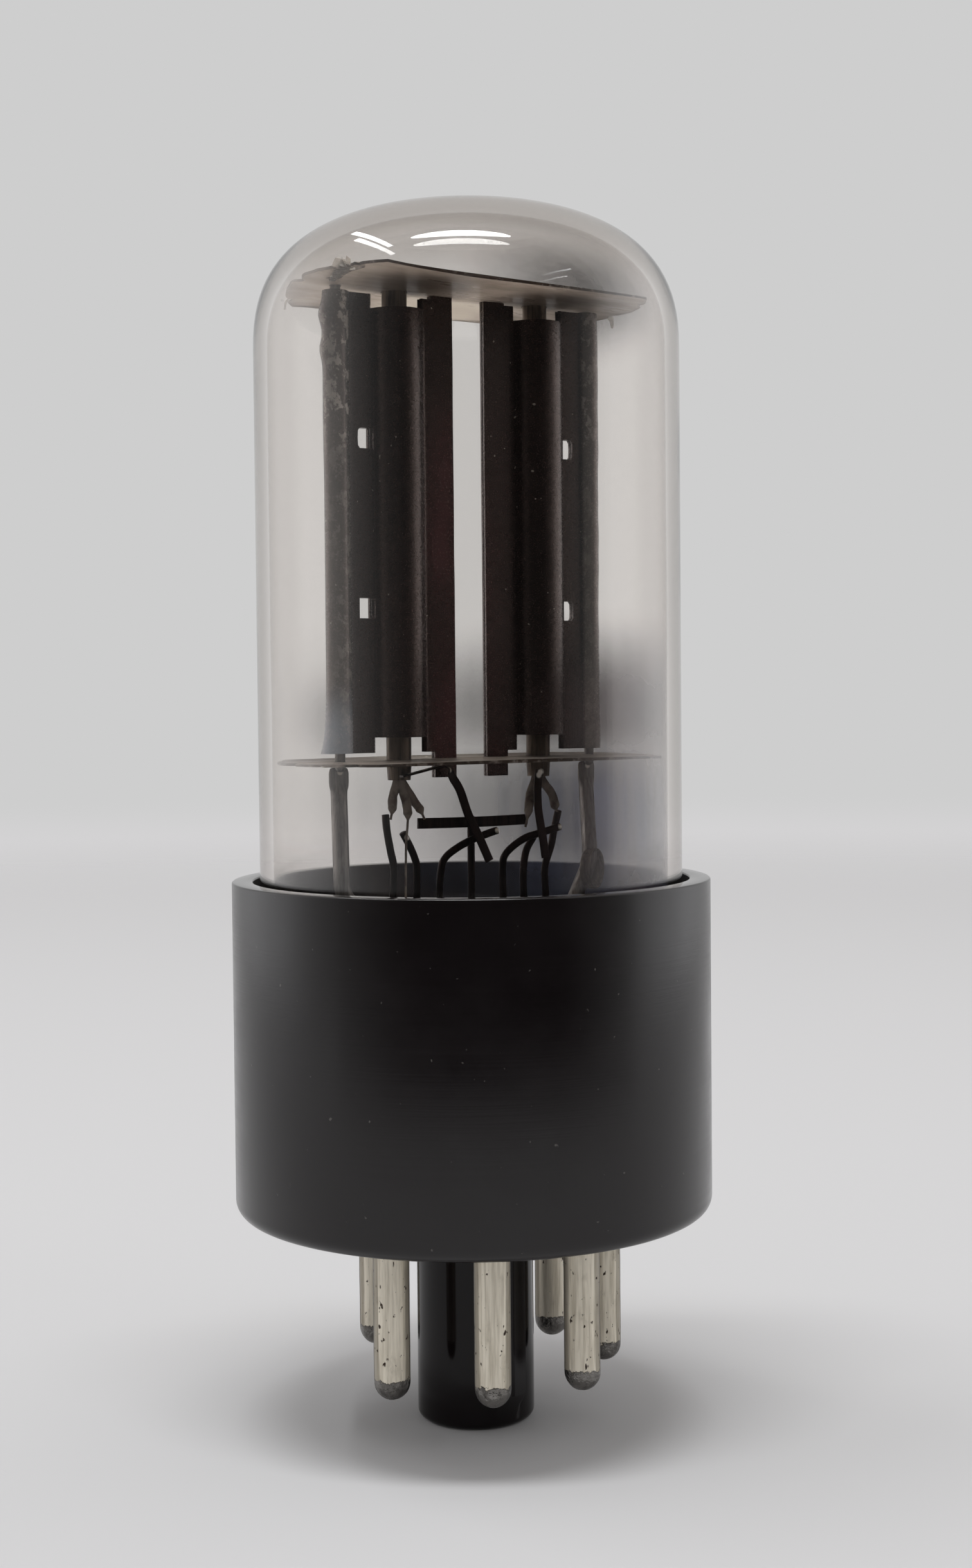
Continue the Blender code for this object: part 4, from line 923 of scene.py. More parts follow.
def fold_line(sizes):
    """Half of the folded sheet seen from above, from the open edge to the back of the wrap."""
    channel = CHANNEL_RADIUS - sizes.sheet / 2
    wrap = WRAP_RADIUS - sizes.sheet / 2
    fold = (sizes.sheet + sizes.fold_gap) / 2
    edge = PLATE_LOW.x
    start = SLEEVE_PLACE - math.sqrt(channel**2 - fold**2)
    end = SLEEVE_PLACE + math.sqrt(channel**2 - fold**2)
    neck = ROD_PLACE - math.sqrt(wrap**2 - fold**2)
    line = [(edge + (start - edge) * i / 6, -fold) for i in range(6)]
    bend = 0.35 * MM
    line += soft_corner((line[-1][0], -fold), (start, -fold), (SLEEVE_PLACE - channel, -fold - bend), bend)
    line += arc(SLEEVE_PLACE, 0, channel, 196, 344, 18)
    line += soft_corner((SLEEVE_PLACE + channel, -fold - bend), (end, -fold), (end + 1 * MM, -fold), bend)
    line += [(WINDOW_PLACE + x, -fold) for x in (-WINDOW_HALF, -0.275 * MM, 0, 0.275 * MM, WINDOW_HALF)]
    line += soft_corner((WINDOW_PLACE + 0.5 * MM, -fold), (neck, -fold), (neck, -fold - bend), 0.2 * MM)
    line += arc(ROD_PLACE, 0, wrap, 222, 360, 12)
    return line


def soft_corner(before, corner, after, radius, steps=4):
    """Points that round one corner of a polyline."""
    a, b, c = Vector(before), Vector(corner), Vector(after)
    start = b + (a - b).normalized() * min(radius, (a - b).length * 0.9)
    end = b + (c - b).normalized() * min(radius, (c - b).length * 0.9)
    out = []
    for i in range(steps + 1):
        t = i / steps
        out.append(tuple(start.lerp(b, t).lerp(b.lerp(end, t), t)))
    return out


class TUBE_OT_plates(TubeOperator, bpy.types.Operator):
    """Each plate is one sheet folded round its rod, with notches, windows and tabs"""

    bl_idname = "tube.plates"
    bl_label = "Plates"

    def build(self, sizes, colours):
        finish = carbonised_nickel(colours)
        half = fold_line(sizes)
        line = half + [(x, -y) for x, y in reversed(half[:-1])]
        notch, window_half, inset = 1.0 * MM, 0.65 * MM, 9.33 * MM
        levels = {PLATE_LOW.z, PLATE_HIGH.z, PLATE_FOOT, PLATE_HEAD, PLATE_FOOT + notch, PLATE_HEAD - notch}
        windows = (PLATE_FOOT + inset, PLATE_HEAD - inset)
        for level in windows:
            levels |= {level + k * window_half for k in (-1, -0.72, 0, 0.72, 1)}
        rows = [PLATE_FOOT + (PLATE_HEAD - PLATE_FOOT) * i / 90 for i in range(1, 90)]
        levels |= {z for z in rows if all(abs(z - w) > 0.8 * MM for w in windows)}
        levels = sorted(levels)
        notch_low, notch_high = SLEEVE_PLACE - CHANNEL_RADIUS, SLEEVE_PLACE + CHANNEL_RADIUS
        tab = (PLATE_LOW.x + 0.1 * MM, PLATE_LOW.x + 1.4 * MM)

        def is_hole(x, z):
            if z < PLATE_FOOT or z > PLATE_HEAD:
                return not tab[0] - 0.06 * MM < x < tab[1] + 0.06 * MM
            if notch_low < x < notch_high and (z < PLATE_FOOT + notch or z > PLATE_HEAD - notch):
                return True
            return abs(x - WINDOW_PLACE) < 0.42 * MM and any(abs(z - w) < window_half for w in windows)

        for name, side in SIDES.items():
            shape = bmesh.new()
            front, back = [], []
            for z in levels:
                row = []
                for x, y in line:
                    bulge = 0.0
                    if x > ROD_PLACE - 0.45 * WRAP_RADIUS:
                        grip = min((x - ROD_PLACE + 0.45 * WRAP_RADIUS) / WRAP_RADIUS, 1)
                        bulge = grip * self.wrap_swell(name, z)
                    dent = 0.03 * MM * wobble((x, y, z), 3 * MM, 7 + side)
                    row.append(Vector((x + bulge, y + dent)))
                for layer, half_sheet in ((front, -sizes.sheet / 2), (back, sizes.sheet / 2)):
                    moved = []
                    for i, point in enumerate(row):
                        along = row[min(i + 1, len(row) - 1)] - row[max(i - 1, 0)]
                        point = point + Vector((-along.y, along.x)).normalized() * half_sheet
                        x, y = self.rounded_window(point, z, windows, window_half)
                        moved.append(shape.verts.new((side * x, side * y, z)))
                    layer.append(moved)
            solid = {}
            for k in range(len(levels) - 1):
                for i in range(len(line) - 1):
                    middle = (line[i][0] + line[i + 1][0]) / 2
                    solid[k, i] = not is_hole(middle, (levels[k] + levels[k + 1]) / 2)
            for (k, i), is_solid in solid.items():
                if not is_solid:
                    continue
                corners = ((k, i), (k, i + 1), (k + 1, i + 1), (k + 1, i))
                shape.faces.new([front[a][b] for a, b in corners])
                shape.faces.new([back[a][b] for a, b in reversed(corners)])
                beside = ((k - 1, i), (k, i + 1), (k + 1, i), (k, i - 1))
                for n, cell in enumerate(beside):
                    if not solid.get(cell):
                        (a, p), (b, q) = corners[n], corners[(n + 1) % 4]
                        shape.faces.new((front[b][q], front[a][p], back[a][p], back[b][q]))
            loose = [v for v in shape.verts if not v.link_faces]
            bmesh.ops.delete(shape, geom=loose, context="VERTS")
            bmesh.ops.recalc_face_normals(shape, faces=shape.faces)
            place_piece(f"plate_{name}", shape, finish, [f"anode_{name}"], 50)

    @staticmethod
    def wrap_swell(name, z):
        """The crimped wraps aren't straight: the left one bulges near its top and flares below."""
        from_top = PLATE_HEAD - z
        slow = 0.05 * MM * wobble((0, 0, z), 6 * MM, 2 if name == "left" else 5)
        if name == "right":
            return slow + 0.06 * MM * wobble((0, 0, z), 1.6 * MM, 9)
        lumps = 0.27 * MM * math.exp(-(((from_top - 1.55 * MM) / (0.75 * MM)) ** 2))
        lumps += 0.2 * MM * math.exp(-(((from_top - 3.8 * MM) / (0.7 * MM)) ** 2))
        flare = 0.42 * MM * math.exp(-(z - PLATE_FOOT) / (1.3 * MM))
        return slow + lumps + flare

    @staticmethod
    def rounded_window(point, z, windows, window_half):
        """Pulls each window's corners in, as a worn punch leaves them."""
        x, y = point
        off_x = x - WINDOW_PLACE
        if abs(abs(off_x) - WINDOW_HALF) > 1e-6:
            return x, y
        for level in windows:
            share = abs(z - level) / window_half
            if 0.9 < share < 1.01:
                x -= math.copysign(0.14 * MM, off_x)
            elif 0.7 < share < 0.75:
                x -= math.copysign(0.02 * MM, off_x)
        return x, y


class TUBE_OT_cathodes(TubeOperator, bpy.types.Operator):
    """Cathode sleeves with their heaters, and the rods in the plates' wraps"""

    bl_idname = "tube.cathodes"
    bl_label = "Cathodes, heaters and rods"

    def build(self, sizes, colours):
        welds = [(SLEEVE_PLACE - 0.25 * MM, -SLEEVE_RADIUS, climb(10.05))]
        metal = drawn_nickel("drawn_cathode_nickel", colours.sleeve, "#3f3630", 0.45, welds)
        rod = drawn_nickel("drawn_nickel_rod", colours.rod, "#4d4845", 0.38)
        bore = SLEEVE_RADIUS - 0.15 * MM
        rows = [SLEEVE_HIGH.z + (SLEEVE_LOW.z - SLEEVE_HIGH.z) * i / 40 for i in range(41)]
        for name, side in SIDES.items():
            profile = [(SLEEVE_RADIUS - 0.02 * MM * (i in (0, 40)), z) for i, z in enumerate(rows)]
            profile += [(bore, SLEEVE_LOW.z), (bore, SLEEVE_HIGH.z)]

            def pinched(angle, r, z, side=side):
                near_end = min(abs(z - SLEEVE_LOW.z), abs(z - SLEEVE_HIGH.z))
                grip = 0.06 * MM * math.exp(-near_end / (0.5 * MM))
                dents = 0.01 * MM * (1 + wobble((angle, side, z / MM), 1.0))
                return r - grip * (1 + math.cos(2 * angle)) / 2 - dents

            shape = lathe(profile, 48, closed=True, radius_at=pinched, x=side * SLEEVE_PLACE)
            place_piece(f"sleeve_{name}", shape, metal, [f"cathode_{name}"], 50)
            ends = arc(0, ROD_LOW.z + ROD_RADIUS, ROD_RADIUS, -90, 0, 5)
            ends += arc(0, ROD_HIGH.z - ROD_RADIUS / 2, ROD_RADIUS, 0, 90, 5)
            ends[0], ends[-1] = (0.0, ends[0][1]), (0.0, ROD_HIGH.z)
            shape = lathe([(r, min(z, ROD_HIGH.z)) for r, z in ends], 28, x=side * ROD_PLACE)
            place_piece(f"plate_rod_{name}", shape, rod, [f"anode_rod_{name}"], 50)
        self.heaters(colours)

    def heaters(self, colours):
        """Coated legs leave each sleeve, spread, and thin out to bare wire at their welds."""
        finish = alumina_coating(colours)
        c = SLEEVE_PLACE / MM
        foot = (SLEEVE_LOW.z - PRESS_TOP) / MM
        legs = {
            "left": [
                [(-c, 0, foot + 0.6), (-c - 0.2, 0, foot - 0.3), (-c - 0.55, -0.15, foot - 1.1),
                 (-c - 0.7, -0.35, foot - 1.85), (-c - 0.98, -0.66, 7.25)],
                [(-c, -0.1, foot + 0.6), (-c + 0.1, -0.15, foot - 0.25), (-c + 0.3, -0.4, foot - 1.5),
                 (-c + 0.3, -0.6, foot - 2.3), (-c + 0.22, -0.65, 6.6), (-c + 0.1, -0.66, 5.2),
                 (-c + 0.02, -0.66, 0.3)],
                [(-c, 0, foot + 0.6), (-c + 0.3, 0, foot - 0.3), (-c + 0.95, -0.3, foot - 1.45),
                 (-c + 1.15, -0.7, foot - 1.95), (-c + 1.27, -1.06, 7.2)],
            ],
            "right": [
                [(c, 0, foot + 0.6), (c - 0.25, 0, foot - 0.3), (c - 0.85, -0.35, foot - 1.2),
                 (c - 1.3, -0.8, foot - 2.3), (c - 1.7, -1.06, 6.4)],
                [(c, 0, foot + 0.6), (c + 0.3, 0, foot - 0.3), (c + 0.9, -0.25, foot - 1.2),
                 (c + 1.08, -0.45, foot - 2.1), (c + 1.12, -0.62, 7.3)],
            ],
        }
        for name, side in SIDES.items():
            shape = bmesh.new()
            core = [Vector((side * SLEEVE_PLACE, 0, SLEEVE_LOW.z + (SLEEVE_HIGH.z - SLEEVE_LOW.z) * t))
                    for t in (0.006, 0.25, 0.5, 0.75, 0.98)]
            sweep(shape, core, (0.36 * MM, 0.36 * MM))
            for i, points in enumerate(legs[name]):
                path = smooth_path([at(*p) for p in points], 8)
                coat_end = 27 if len(points) < 6 else 26
                sizes = []
                for n, point in enumerate(path):
                    coat = 0.3 * (1 + 0.14 * wobble(point, 0.45 * MM, i + side))
                    thin = min(max((n - coat_end + 3) / 4, 0), 1)
                    sizes.append(((coat * (1 - thin) + 0.08 * thin) * MM,) * 2)
                sweep(shape, path, sizes, (0, 1, 0), 14)
            place_piece(f"heater_{name}_coated", shape, finish, [f"heater_{name}"], 60)


class TUBE_OT_spacers(TubeOperator, bpy.types.Operator):
    """Punched mica spacers with frayed ends, ears, slits and holes"""

    bl_idname = "tube.spacers"
    bl_label = "Mica spacers"

    def build(self, sizes, colours):
        finish, white = split_mica(colours), frayed_mica()
        for name, low, high in (("lower", LOWER_MICA, LOWER_MICA_TOP), ("upper", UPPER_MICA, UPPER_MICA_TOP)):
            middle = (low.z + high.z) / 2
            shape = bmesh.new()
            shape.from_mesh(self.sheet(name, high.x, high.y, middle, 0.16 * MM))
            bmesh.ops.remove_doubles(shape, verts=shape.verts, dist=1e-6)
            old_faces = set(shape.faces)
            if name == "upper":
                self.splinters(shape, (-10.2, -1.1), (-10.9, -4.8), 130, middle, 0.75)
                self.splinters(shape, (9.6, 1.4), (11.0, 4.6), 16, middle, 0.25)
                self.hook(shape, (-10.2, 5.2), (-1.0, 0.6), middle, 0.75)
                self.hook(shape, (11.55, 0.5), (1.0, 0.1), middle, 0.8)
            else:
                self.splinters(shape, (-11.4, -1.6), (-11.9, -4.2), 16, middle, 0.2)
                self.splinters(shape, (10.9, 1.6), (11.6, 4.6), 10, middle, 0.2)
            for vert in shape.verts:
                vert.co.z += self.droop(name, vert.co.x / MM, vert.co.y / MM) * MM
                vert.co.z += 0.03 * MM * wobble(vert.co, 5 * MM, 4)
            is_torn = [face not in old_faces for face in shape.faces]
            piece = place_piece(f"spacer_{name}", shape, finish, [f"mica_{name}"], 30)
            piece.data.materials.append(white)
            piece.data.polygons.foreach_set("material_index", [int(torn) for torn in is_torn])

    @staticmethod
    def droop(name, x, y):
        """The upper spacer dips to the right and sags at its front edge, the lower one to the left."""
        if name == "lower":
            return -0.05 + 0.011 * min(x, 0)
        sag = 0.03 * max(-y - 1.85, 0) * min(max((x + 10) / 6, 0), 1)
        return -0.15 - 0.013 * x - sag

    @staticmethod
    def splinters(shape, start, end, count, level, rise):
        """Splinters that stand up along a slit, longest at its open end. Places are in millimetres."""
        a, b = Vector((*start, 0)) * MM, Vector((*end, 0)) * MM
        for i in range(count):
            t = (i + 0.5) / count
            turn = 2.4 * i
            size = (0.3 + 0.5 * t * abs(wobble((i, rise, 5), 1.3))) * MM
            lean = Vector((math.cos(turn), math.sin(turn), 0)) * size
            lift = Vector((0, 0, rise * (0.35 + 0.65 * t) * (0.3 + abs(wobble((i, 9, rise), 1.1))) * MM))
            sway = (0.25 + 0.45 * t) * MM * wobble((i, 2, 8), 0.9)
            root = a.lerp(b, t) + Vector((sway, -sway, level - 0.08 * MM))
            across = Vector((-lean.y, lean.x, 0)) * 1.3
            tip, side = root + lean * 0.3 + lift, root + lean * 0.7 + lift * 0.8
            corners = [root - across * 0.5, root + across * 0.5, side + across * 0.2, tip - across * 0.3]
            thick = Vector((0.02, 0.02, 0.03)) * MM
            faces = [[shape.verts.new(p) for p in corners], [shape.verts.new(p - thick) for p in corners]]
            skin(shape, faces)
            shape.faces.new(faces[0])
            shape.faces.new(list(reversed(faces[1])))

    @staticmethod
    def hook(shape, place, way, level, drop):
        """A torn ear at the rim that has bent down. Place and drop are in millimetres."""
        start, out = Vector((*place, 0)) * MM, Vector((*way, 0)).normalized() * MM
        steps = ((0, 0), (0.35, 0), (0.6, 0.3 * drop), (0.66, drop))
        path = smooth_path([start + out * a + Vector((0, 0, level - b * MM)) for a, b in steps], 4)
        sizes = [(0.5 * MM * (1 - 0.85 * i / (len(path) - 1)), 0.07 * MM) for i in range(len(path))]
        sweep(shape, path, sizes, (-out.y, out.x, 0), 10, 5)

    def outline(self, radius, flat, seed):
        """The spacer's edge: two nearly straight sides and two frayed, toothed ends."""
        corner = math.sqrt(radius**2 - flat**2)
        side = []
        for i in range(61):
            x = -corner + 2 * corner * i / 60
            side.append((x, -flat + 0.03 * MM * wobble((x, 0, seed), 0.5 * MM)))
        reach = math.asin(flat / radius)
        end = []
        for i in range(1, 90):
            turn = -reach + 2 * reach * i / 90
            tooth = 0.45 * MM * max(0, math.cos(turn * 13.8)) ** 8
            fray = 0.12 * MM * abs(wobble((turn * 9, seed, 0), 1.0))
            r = radius - tooth - fray
            end.append((r * math.cos(turn), r * math.sin(turn)))
        half = side + end
        return half + [(-x, -y) for x, y in half]

    def sheet(self, name, radius, flat, middle, thickness):
        """The punched sheet as a mesh: its edge, its holes and the slits at its ends."""
        curve = bpy.data.curves.new("punched_edge", "CURVE")
        curve.dimensions, curve.fill_mode = "2D", "BOTH"
        curve.extrude = thickness / 2
        corner = math.sqrt(radius**2 - flat**2)
        loops = [self.outline(radius, flat, 1 if name == "upper" else 6)]
        for side in SIDES.values():
            for x, r in ((SLEEVE_PLACE, SLEEVE_RADIUS + 0.06 * MM), (ROD_PLACE, ROD_RADIUS + 0.05 * MM)):
                loops.append([(side * x + u, v) for u, v in rounded_section(r, r, 2, 40)])
            tab, deep = (PLATE_LOW.x, PLATE_LOW.x + 1.5 * MM), 0.35 * MM
            corners = ((tab[0], -deep), (tab[1], -deep), (tab[1], deep), (tab[0], deep))
            loops.append([(side * x, y) for x, y in corners])
            start = Vector((ROD_PLACE + 1.2 * MM, 1.5 * MM)) * side
            end = Vector((corner + 0.9 * MM, flat - 1.9 * MM)) * side
            across = (end - start).orthogonal().normalized()
            slit = []
            for i in range(21):
                point = start.lerp(end, i / 20)
                half = (0.06 + 0.3 * i / 20) * MM + 0.05 * MM * wobble((i * 0.7, side, 3), 1.0)
                slit.append((point + across * half, point - across * half))
            loops.append([tuple(a) for a, b in slit] + [tuple(b) for a, b in reversed(slit)])
        for loop in loops:
            spline = curve.splines.new("POLY")
            spline.points.add(len(loop) - 1)
            for target, (x, y) in zip(spline.points, loop):
                target.co = (x, y, 0, 1)
            spline.use_cyclic_u = True
        punched = add_object("punched_edge", curve)
        punched.location.z = middle
        mesh = bake(punched)
        bpy.data.objects.remove(punched, do_unlink=True)
        return mesh


# The thin leads' routes: across, deep and above the press, in millimetres
LEAD_ROUTES = {
    "a": [(-5.9, 0, -0.9), (-5.9, 0, 1.5), (-5.78, 0, 3.9), (-6.0, 0, 5.1), (-6.24, 0, 6.4), (-6.35, 0, 7.5)],
    "b": [(-4.1, 0, -0.9), (-4.12, 0, 1.5), (-4.1, 0, 3.9), (-4.24, 0, 4.6), (-4.6, 0, 5.4), (-5.1, 0, 6.3)],
    "c": [(-2.47, 0, -0.9), (-2.47, 0, 1.5), (-2.29, -0.02, 3.7), (-2.05, -0.2, 4.55), (-1.22, -0.55, 5.25),
          (-0.22, -0.85, 5.75), (0.81, -1.1, 6.11), (1.33, -1.22, 6.27)],
    "d": [(0, 0, -0.9), (0.02, 0, 2.5), (0, 0, 5.0), (0, 0, 7.2)],
    "e": [(2.47, 0, -0.9), (2.45, 0, 1.5), (2.43, 0, 3.5), (2.54, -0.25, 4.6), (3.68, -0.7, 5.58),
          (5.16, -0.8, 5.98), (6.54, -0.78, 6.3)],
    "f": [(4.1, 0, -0.9), (4.08, 0, 1.8), (4.07, 0, 3.5), (4.33, 0.02, 4.75), (4.95, 0.1, 5.6)],
    "g": [(5.9, 0, -0.9), (5.86, 0, 1.6), (5.8, 0, 3.5), (6.3, 0, 4.95), (6.6, 0, 6.2), (6.92, 0, 7.35)],
}


# A side lead's flattened head: how far below its top, share of its full width, and half depth
HEAD_STATIONS = (
    (1.55, 0.8, 0.4), (1.25, 0.95, 0.28), (1.0, 1.0, 0.2), (0.35, 1.0, 0.2), (0.08, 0.88, 0.17),
    (0.0, 0.6, 0.12),
)


class TUBE_OT_leads(TubeOperator, bpy.types.Operator):
    """The row of thin leads, the two stout side leads and the link bar"""

    bl_idname = "tube.leads"
    bl_label = "Leads"

    def build(self, sizes, colours):
        welds = [at(1.25, -1.45, 6.27), at(6.45, -0.95, 6.3), at(-4.9, -0.2, 6.0)]
        oxide = drawn_nickel("oxidised_nickel_wire", colours.lead, "#120d0d", 0.4, welds)
        for letter, route in LEAD_ROUTES.items():
            points = [at(*p) for p in route]
            name = f"stem_lead_{letter}"
            wire(f"{name}_wire", points, sizes.wire_radius, oxide, [name])
        shape = bmesh.new()
        width, thick = (LINK_HIGH.z - LINK_LOW.z) / 2, 0.075 * MM
        path = []
        for t in (i / 24 for i in range(25)):
            x, sag = LINK_LOW.x + (LINK_HIGH.x - LINK_LOW.x) * t, 0.05 * MM * math.sin(3 * t)
            path.append(Vector((x, LINK.y, LINK.z - sag)))
        sweep(shape, path, (width, thick), (0, 0, 1), 20, 8)
        place_piece("link_bar", shape, oxide, ["heater_link"], 40)
        self.side_leads(colours)

    def side_leads(self, colours):
        """Stout leads, flattened at the top where they take the plates' weight."""
        radius, head_half, head_deep = 0.51 * MM, SIDE_HIGH.x - ROD_PLACE, 0.2 * MM
        back = ROD_RADIUS + 0.1 * MM + head_deep
        lean = 0.18 * MM
        height = SIDE_HIGH.z - 0.3 * MM
        welds = [(side * ROD_PLACE + lean, back - head_deep, height) for side in SIDES.values()]
        steel = drawn_nickel("drawn_side_lead_nickel", colours.rod, "#5b5552", 0.42, welds)
        for name, side in SIDES.items():
            entry, bend = ROD_PLACE - 1.8 * MM, 2.8 if side < 0 else 3.9
            steps = [(entry, -0.9), (entry, 0.2), (entry + 0.9 * MM, 0.52 * bend)]
            steps += [(ROD_PLACE - 0.12 * MM, 0.92 * bend), (ROD_PLACE, bend + 0.9)]
            path = smooth_path([Vector((side * x, 0, climb(z))) for x, z in steps], 6)
            foot, head = path[-1], Vector((side * ROD_PLACE + lean, back, SIDE_HIGH.z - 1.95 * MM))
            path += [foot.lerp(head, i / 8) for i in range(1, 9)]
            section = [(radius, radius)] * len(path)
            for drop, wide, deep in HEAD_STATIONS:
                path.append(Vector((side * ROD_PLACE + lean, back, SIDE_HIGH.z - drop * MM)))
                section.append((wide * head_half, deep * MM))
            shape = bmesh.new()
            flipped = [(deep, wide) for wide, deep in section]
            sweep(shape, path, flipped, (0, 1, 0), 24, 2.3)
            place_piece(f"side_lead_{name}_rod", shape, steel, [f"side_lead_{name}"], 50)


class TUBE_OT_straps(TubeOperator, bpy.types.Operator):
    """Thin ribbons from the cathode sleeves down to their leads"""

    bl_idname = "tube.straps"
    bl_label = "Straps"

    def build(self, sizes, colours):
        c = SLEEVE_PLACE / MM
        # Painted glints: pale spots where the ribbons fold and along their tops, laid on the way welds are.
        bright = [at(-c + 0.1, -1.38, 10.15), at(-c + 1.2, -1.32, 10.42), at(-c + 2.75, -1.3, 10.6),
                  at(-c + 3.1, -1.3, 10.4), at(c - 0.5, -1.1, 10.05), at(c - 0.62, -1.1, 9.85)]
        ribbon = drawn_nickel("rolled_nickel_ribbon", colours.lead, "#241b19", 0.36, bright)
        left = [
            ((-c - 0.55, -1.38, 10.02), (0, 1, 0)), ((-c + 0.35, -1.38, 10.2), (0, 1, 0)),
            ((-c + 2.1, -1.3, 10.55), (0, 1, 0)), ((-c + 2.75, -1.25, 10.55), (0.3, 0.9, 0)),
            ((-c + 3.1, -1.2, 10.35), (0.7, 0.6, 0.2)), ((-c + 3.3, -1.15, 9.9), (0.9, 0.2, 0.4)),
            ((-c + 3.9, -1.1, 9.0), (0.9, 0, 0.4)), ((-0.95, -1.35, 7.4), (0.9, 0, 0.35)),
            ((-0.3, -1.62, 5.9), (0.9, 0, 0.35)), ((0.4, -1.75, 4.3), (0.9, 0, 0.35)),
        ]
        right = [
            ((c - 0.55, -1.02, 10.2), (1, 0, 0)), ((c - 0.7, -1.03, 9.0), (1, 0, 0)),
            ((c - 0.72, -1.1, 7.8), (1, 0.05, 0)), ((c - 0.72, -1.3, 6.9), (1, 0, 0)),
            ((c - 0.45, -1.32, 5.4), (1, 0, 0.2)), ((c - 0.3, -1.33, 4.3), (1, 0, 0.1)),
        ]
        for name, stations in (("left", left), ("right", right)):
            points = smooth_path([at(*p) for p, _ in stations], 6)
            broad = smooth_path([Vector(b) for _, b in stations], 6)
            shape = bmesh.new()
            sweep(shape, points, (0.3 * MM, 0.065 * MM), broad, 16, 7)
            strap = f"cathode_strap_{name}"
            place_piece(f"{strap}_ribbon", shape, ribbon, [strap], 40)


class TUBE_OT_getter(TubeOperator, bpy.types.Operator):
    """Pressed getter cup beside the right side lead"""

    bl_idname = "tube.getter"
    bl_label = "Getter cup"

    def build(self, sizes, colours):
        metal = drawn_nickel("burnt_getter_cup", linear("#6b645d"), "#35302d", 0.5)
        radius, depth = CUP_HIGH.x - CUP.x, CUP_HIGH.y - CUP_LOW.y
        lip, floor = 0.2 * MM, 0.32 * MM
        profile = [(0.0, floor)] + arc(radius - lip - 0.2 * MM, floor + 0.2 * MM, 0.2 * MM, -90, 0, 4)
        profile += arc(radius - lip / 2, depth - lip / 2, lip / 2, 180, 0, 6)
        profile += arc(radius - 0.25 * MM, 0.25 * MM, 0.25 * MM, 0, -90, 5) + [(0.0, 0.0)]
        shape = lathe(profile, 48)
        turn = Matrix.Translation((CUP.x, CUP.y, CUP.z)) @ Matrix.Rotation(math.radians(32), 4, "Z")
        turn = turn @ Matrix.Translation((0, depth / 2, 0)) @ Matrix.Rotation(math.pi / 2, 4, "X")
        bmesh.ops.transform(shape, matrix=turn, verts=shape.verts)
        place_piece("getter_cup_pressed", shape, metal, ["getter_cup"], 50)


# Stage: azimuth is measured from -Y towards +X, as the camera sees the tube
CAMERA_TURN = math.radians(-30)
CAMERA_DISTANCE = 143.5 * MM
CAMERA_HEIGHT = 48.0 * MM
CAMERA_SIDESTEP = 1.04 * MM
CAMERA_PITCH = 0.0396
CAMERA_ROLL = -0.0093
CAMERA_LENS = 49.54
CARD_TURN = CAMERA_TURN + math.radians(8)
# Ceiling strips: name, middle, run along the ceiling, width, radiance. The dome mirrors them.
STRIPS = (
    ("overhead_strip", (-0.11, -0.14, 1.0), (0.5, -0.31, 0), 0.13, 21.0),
    ("left_strip", (-0.40, 0.33, 1.0), (-0.33, -0.59, 0), 0.04, 20.0),
    ("front_right_strip", (0.56, -1.22, 1.0), (0.36, 0.42, 0), 0.03, 14.0),
    ("front_strip", (-0.62, -0.98, 1.0), (0.27, -0.17, 0), 0.03, 10.0),
)


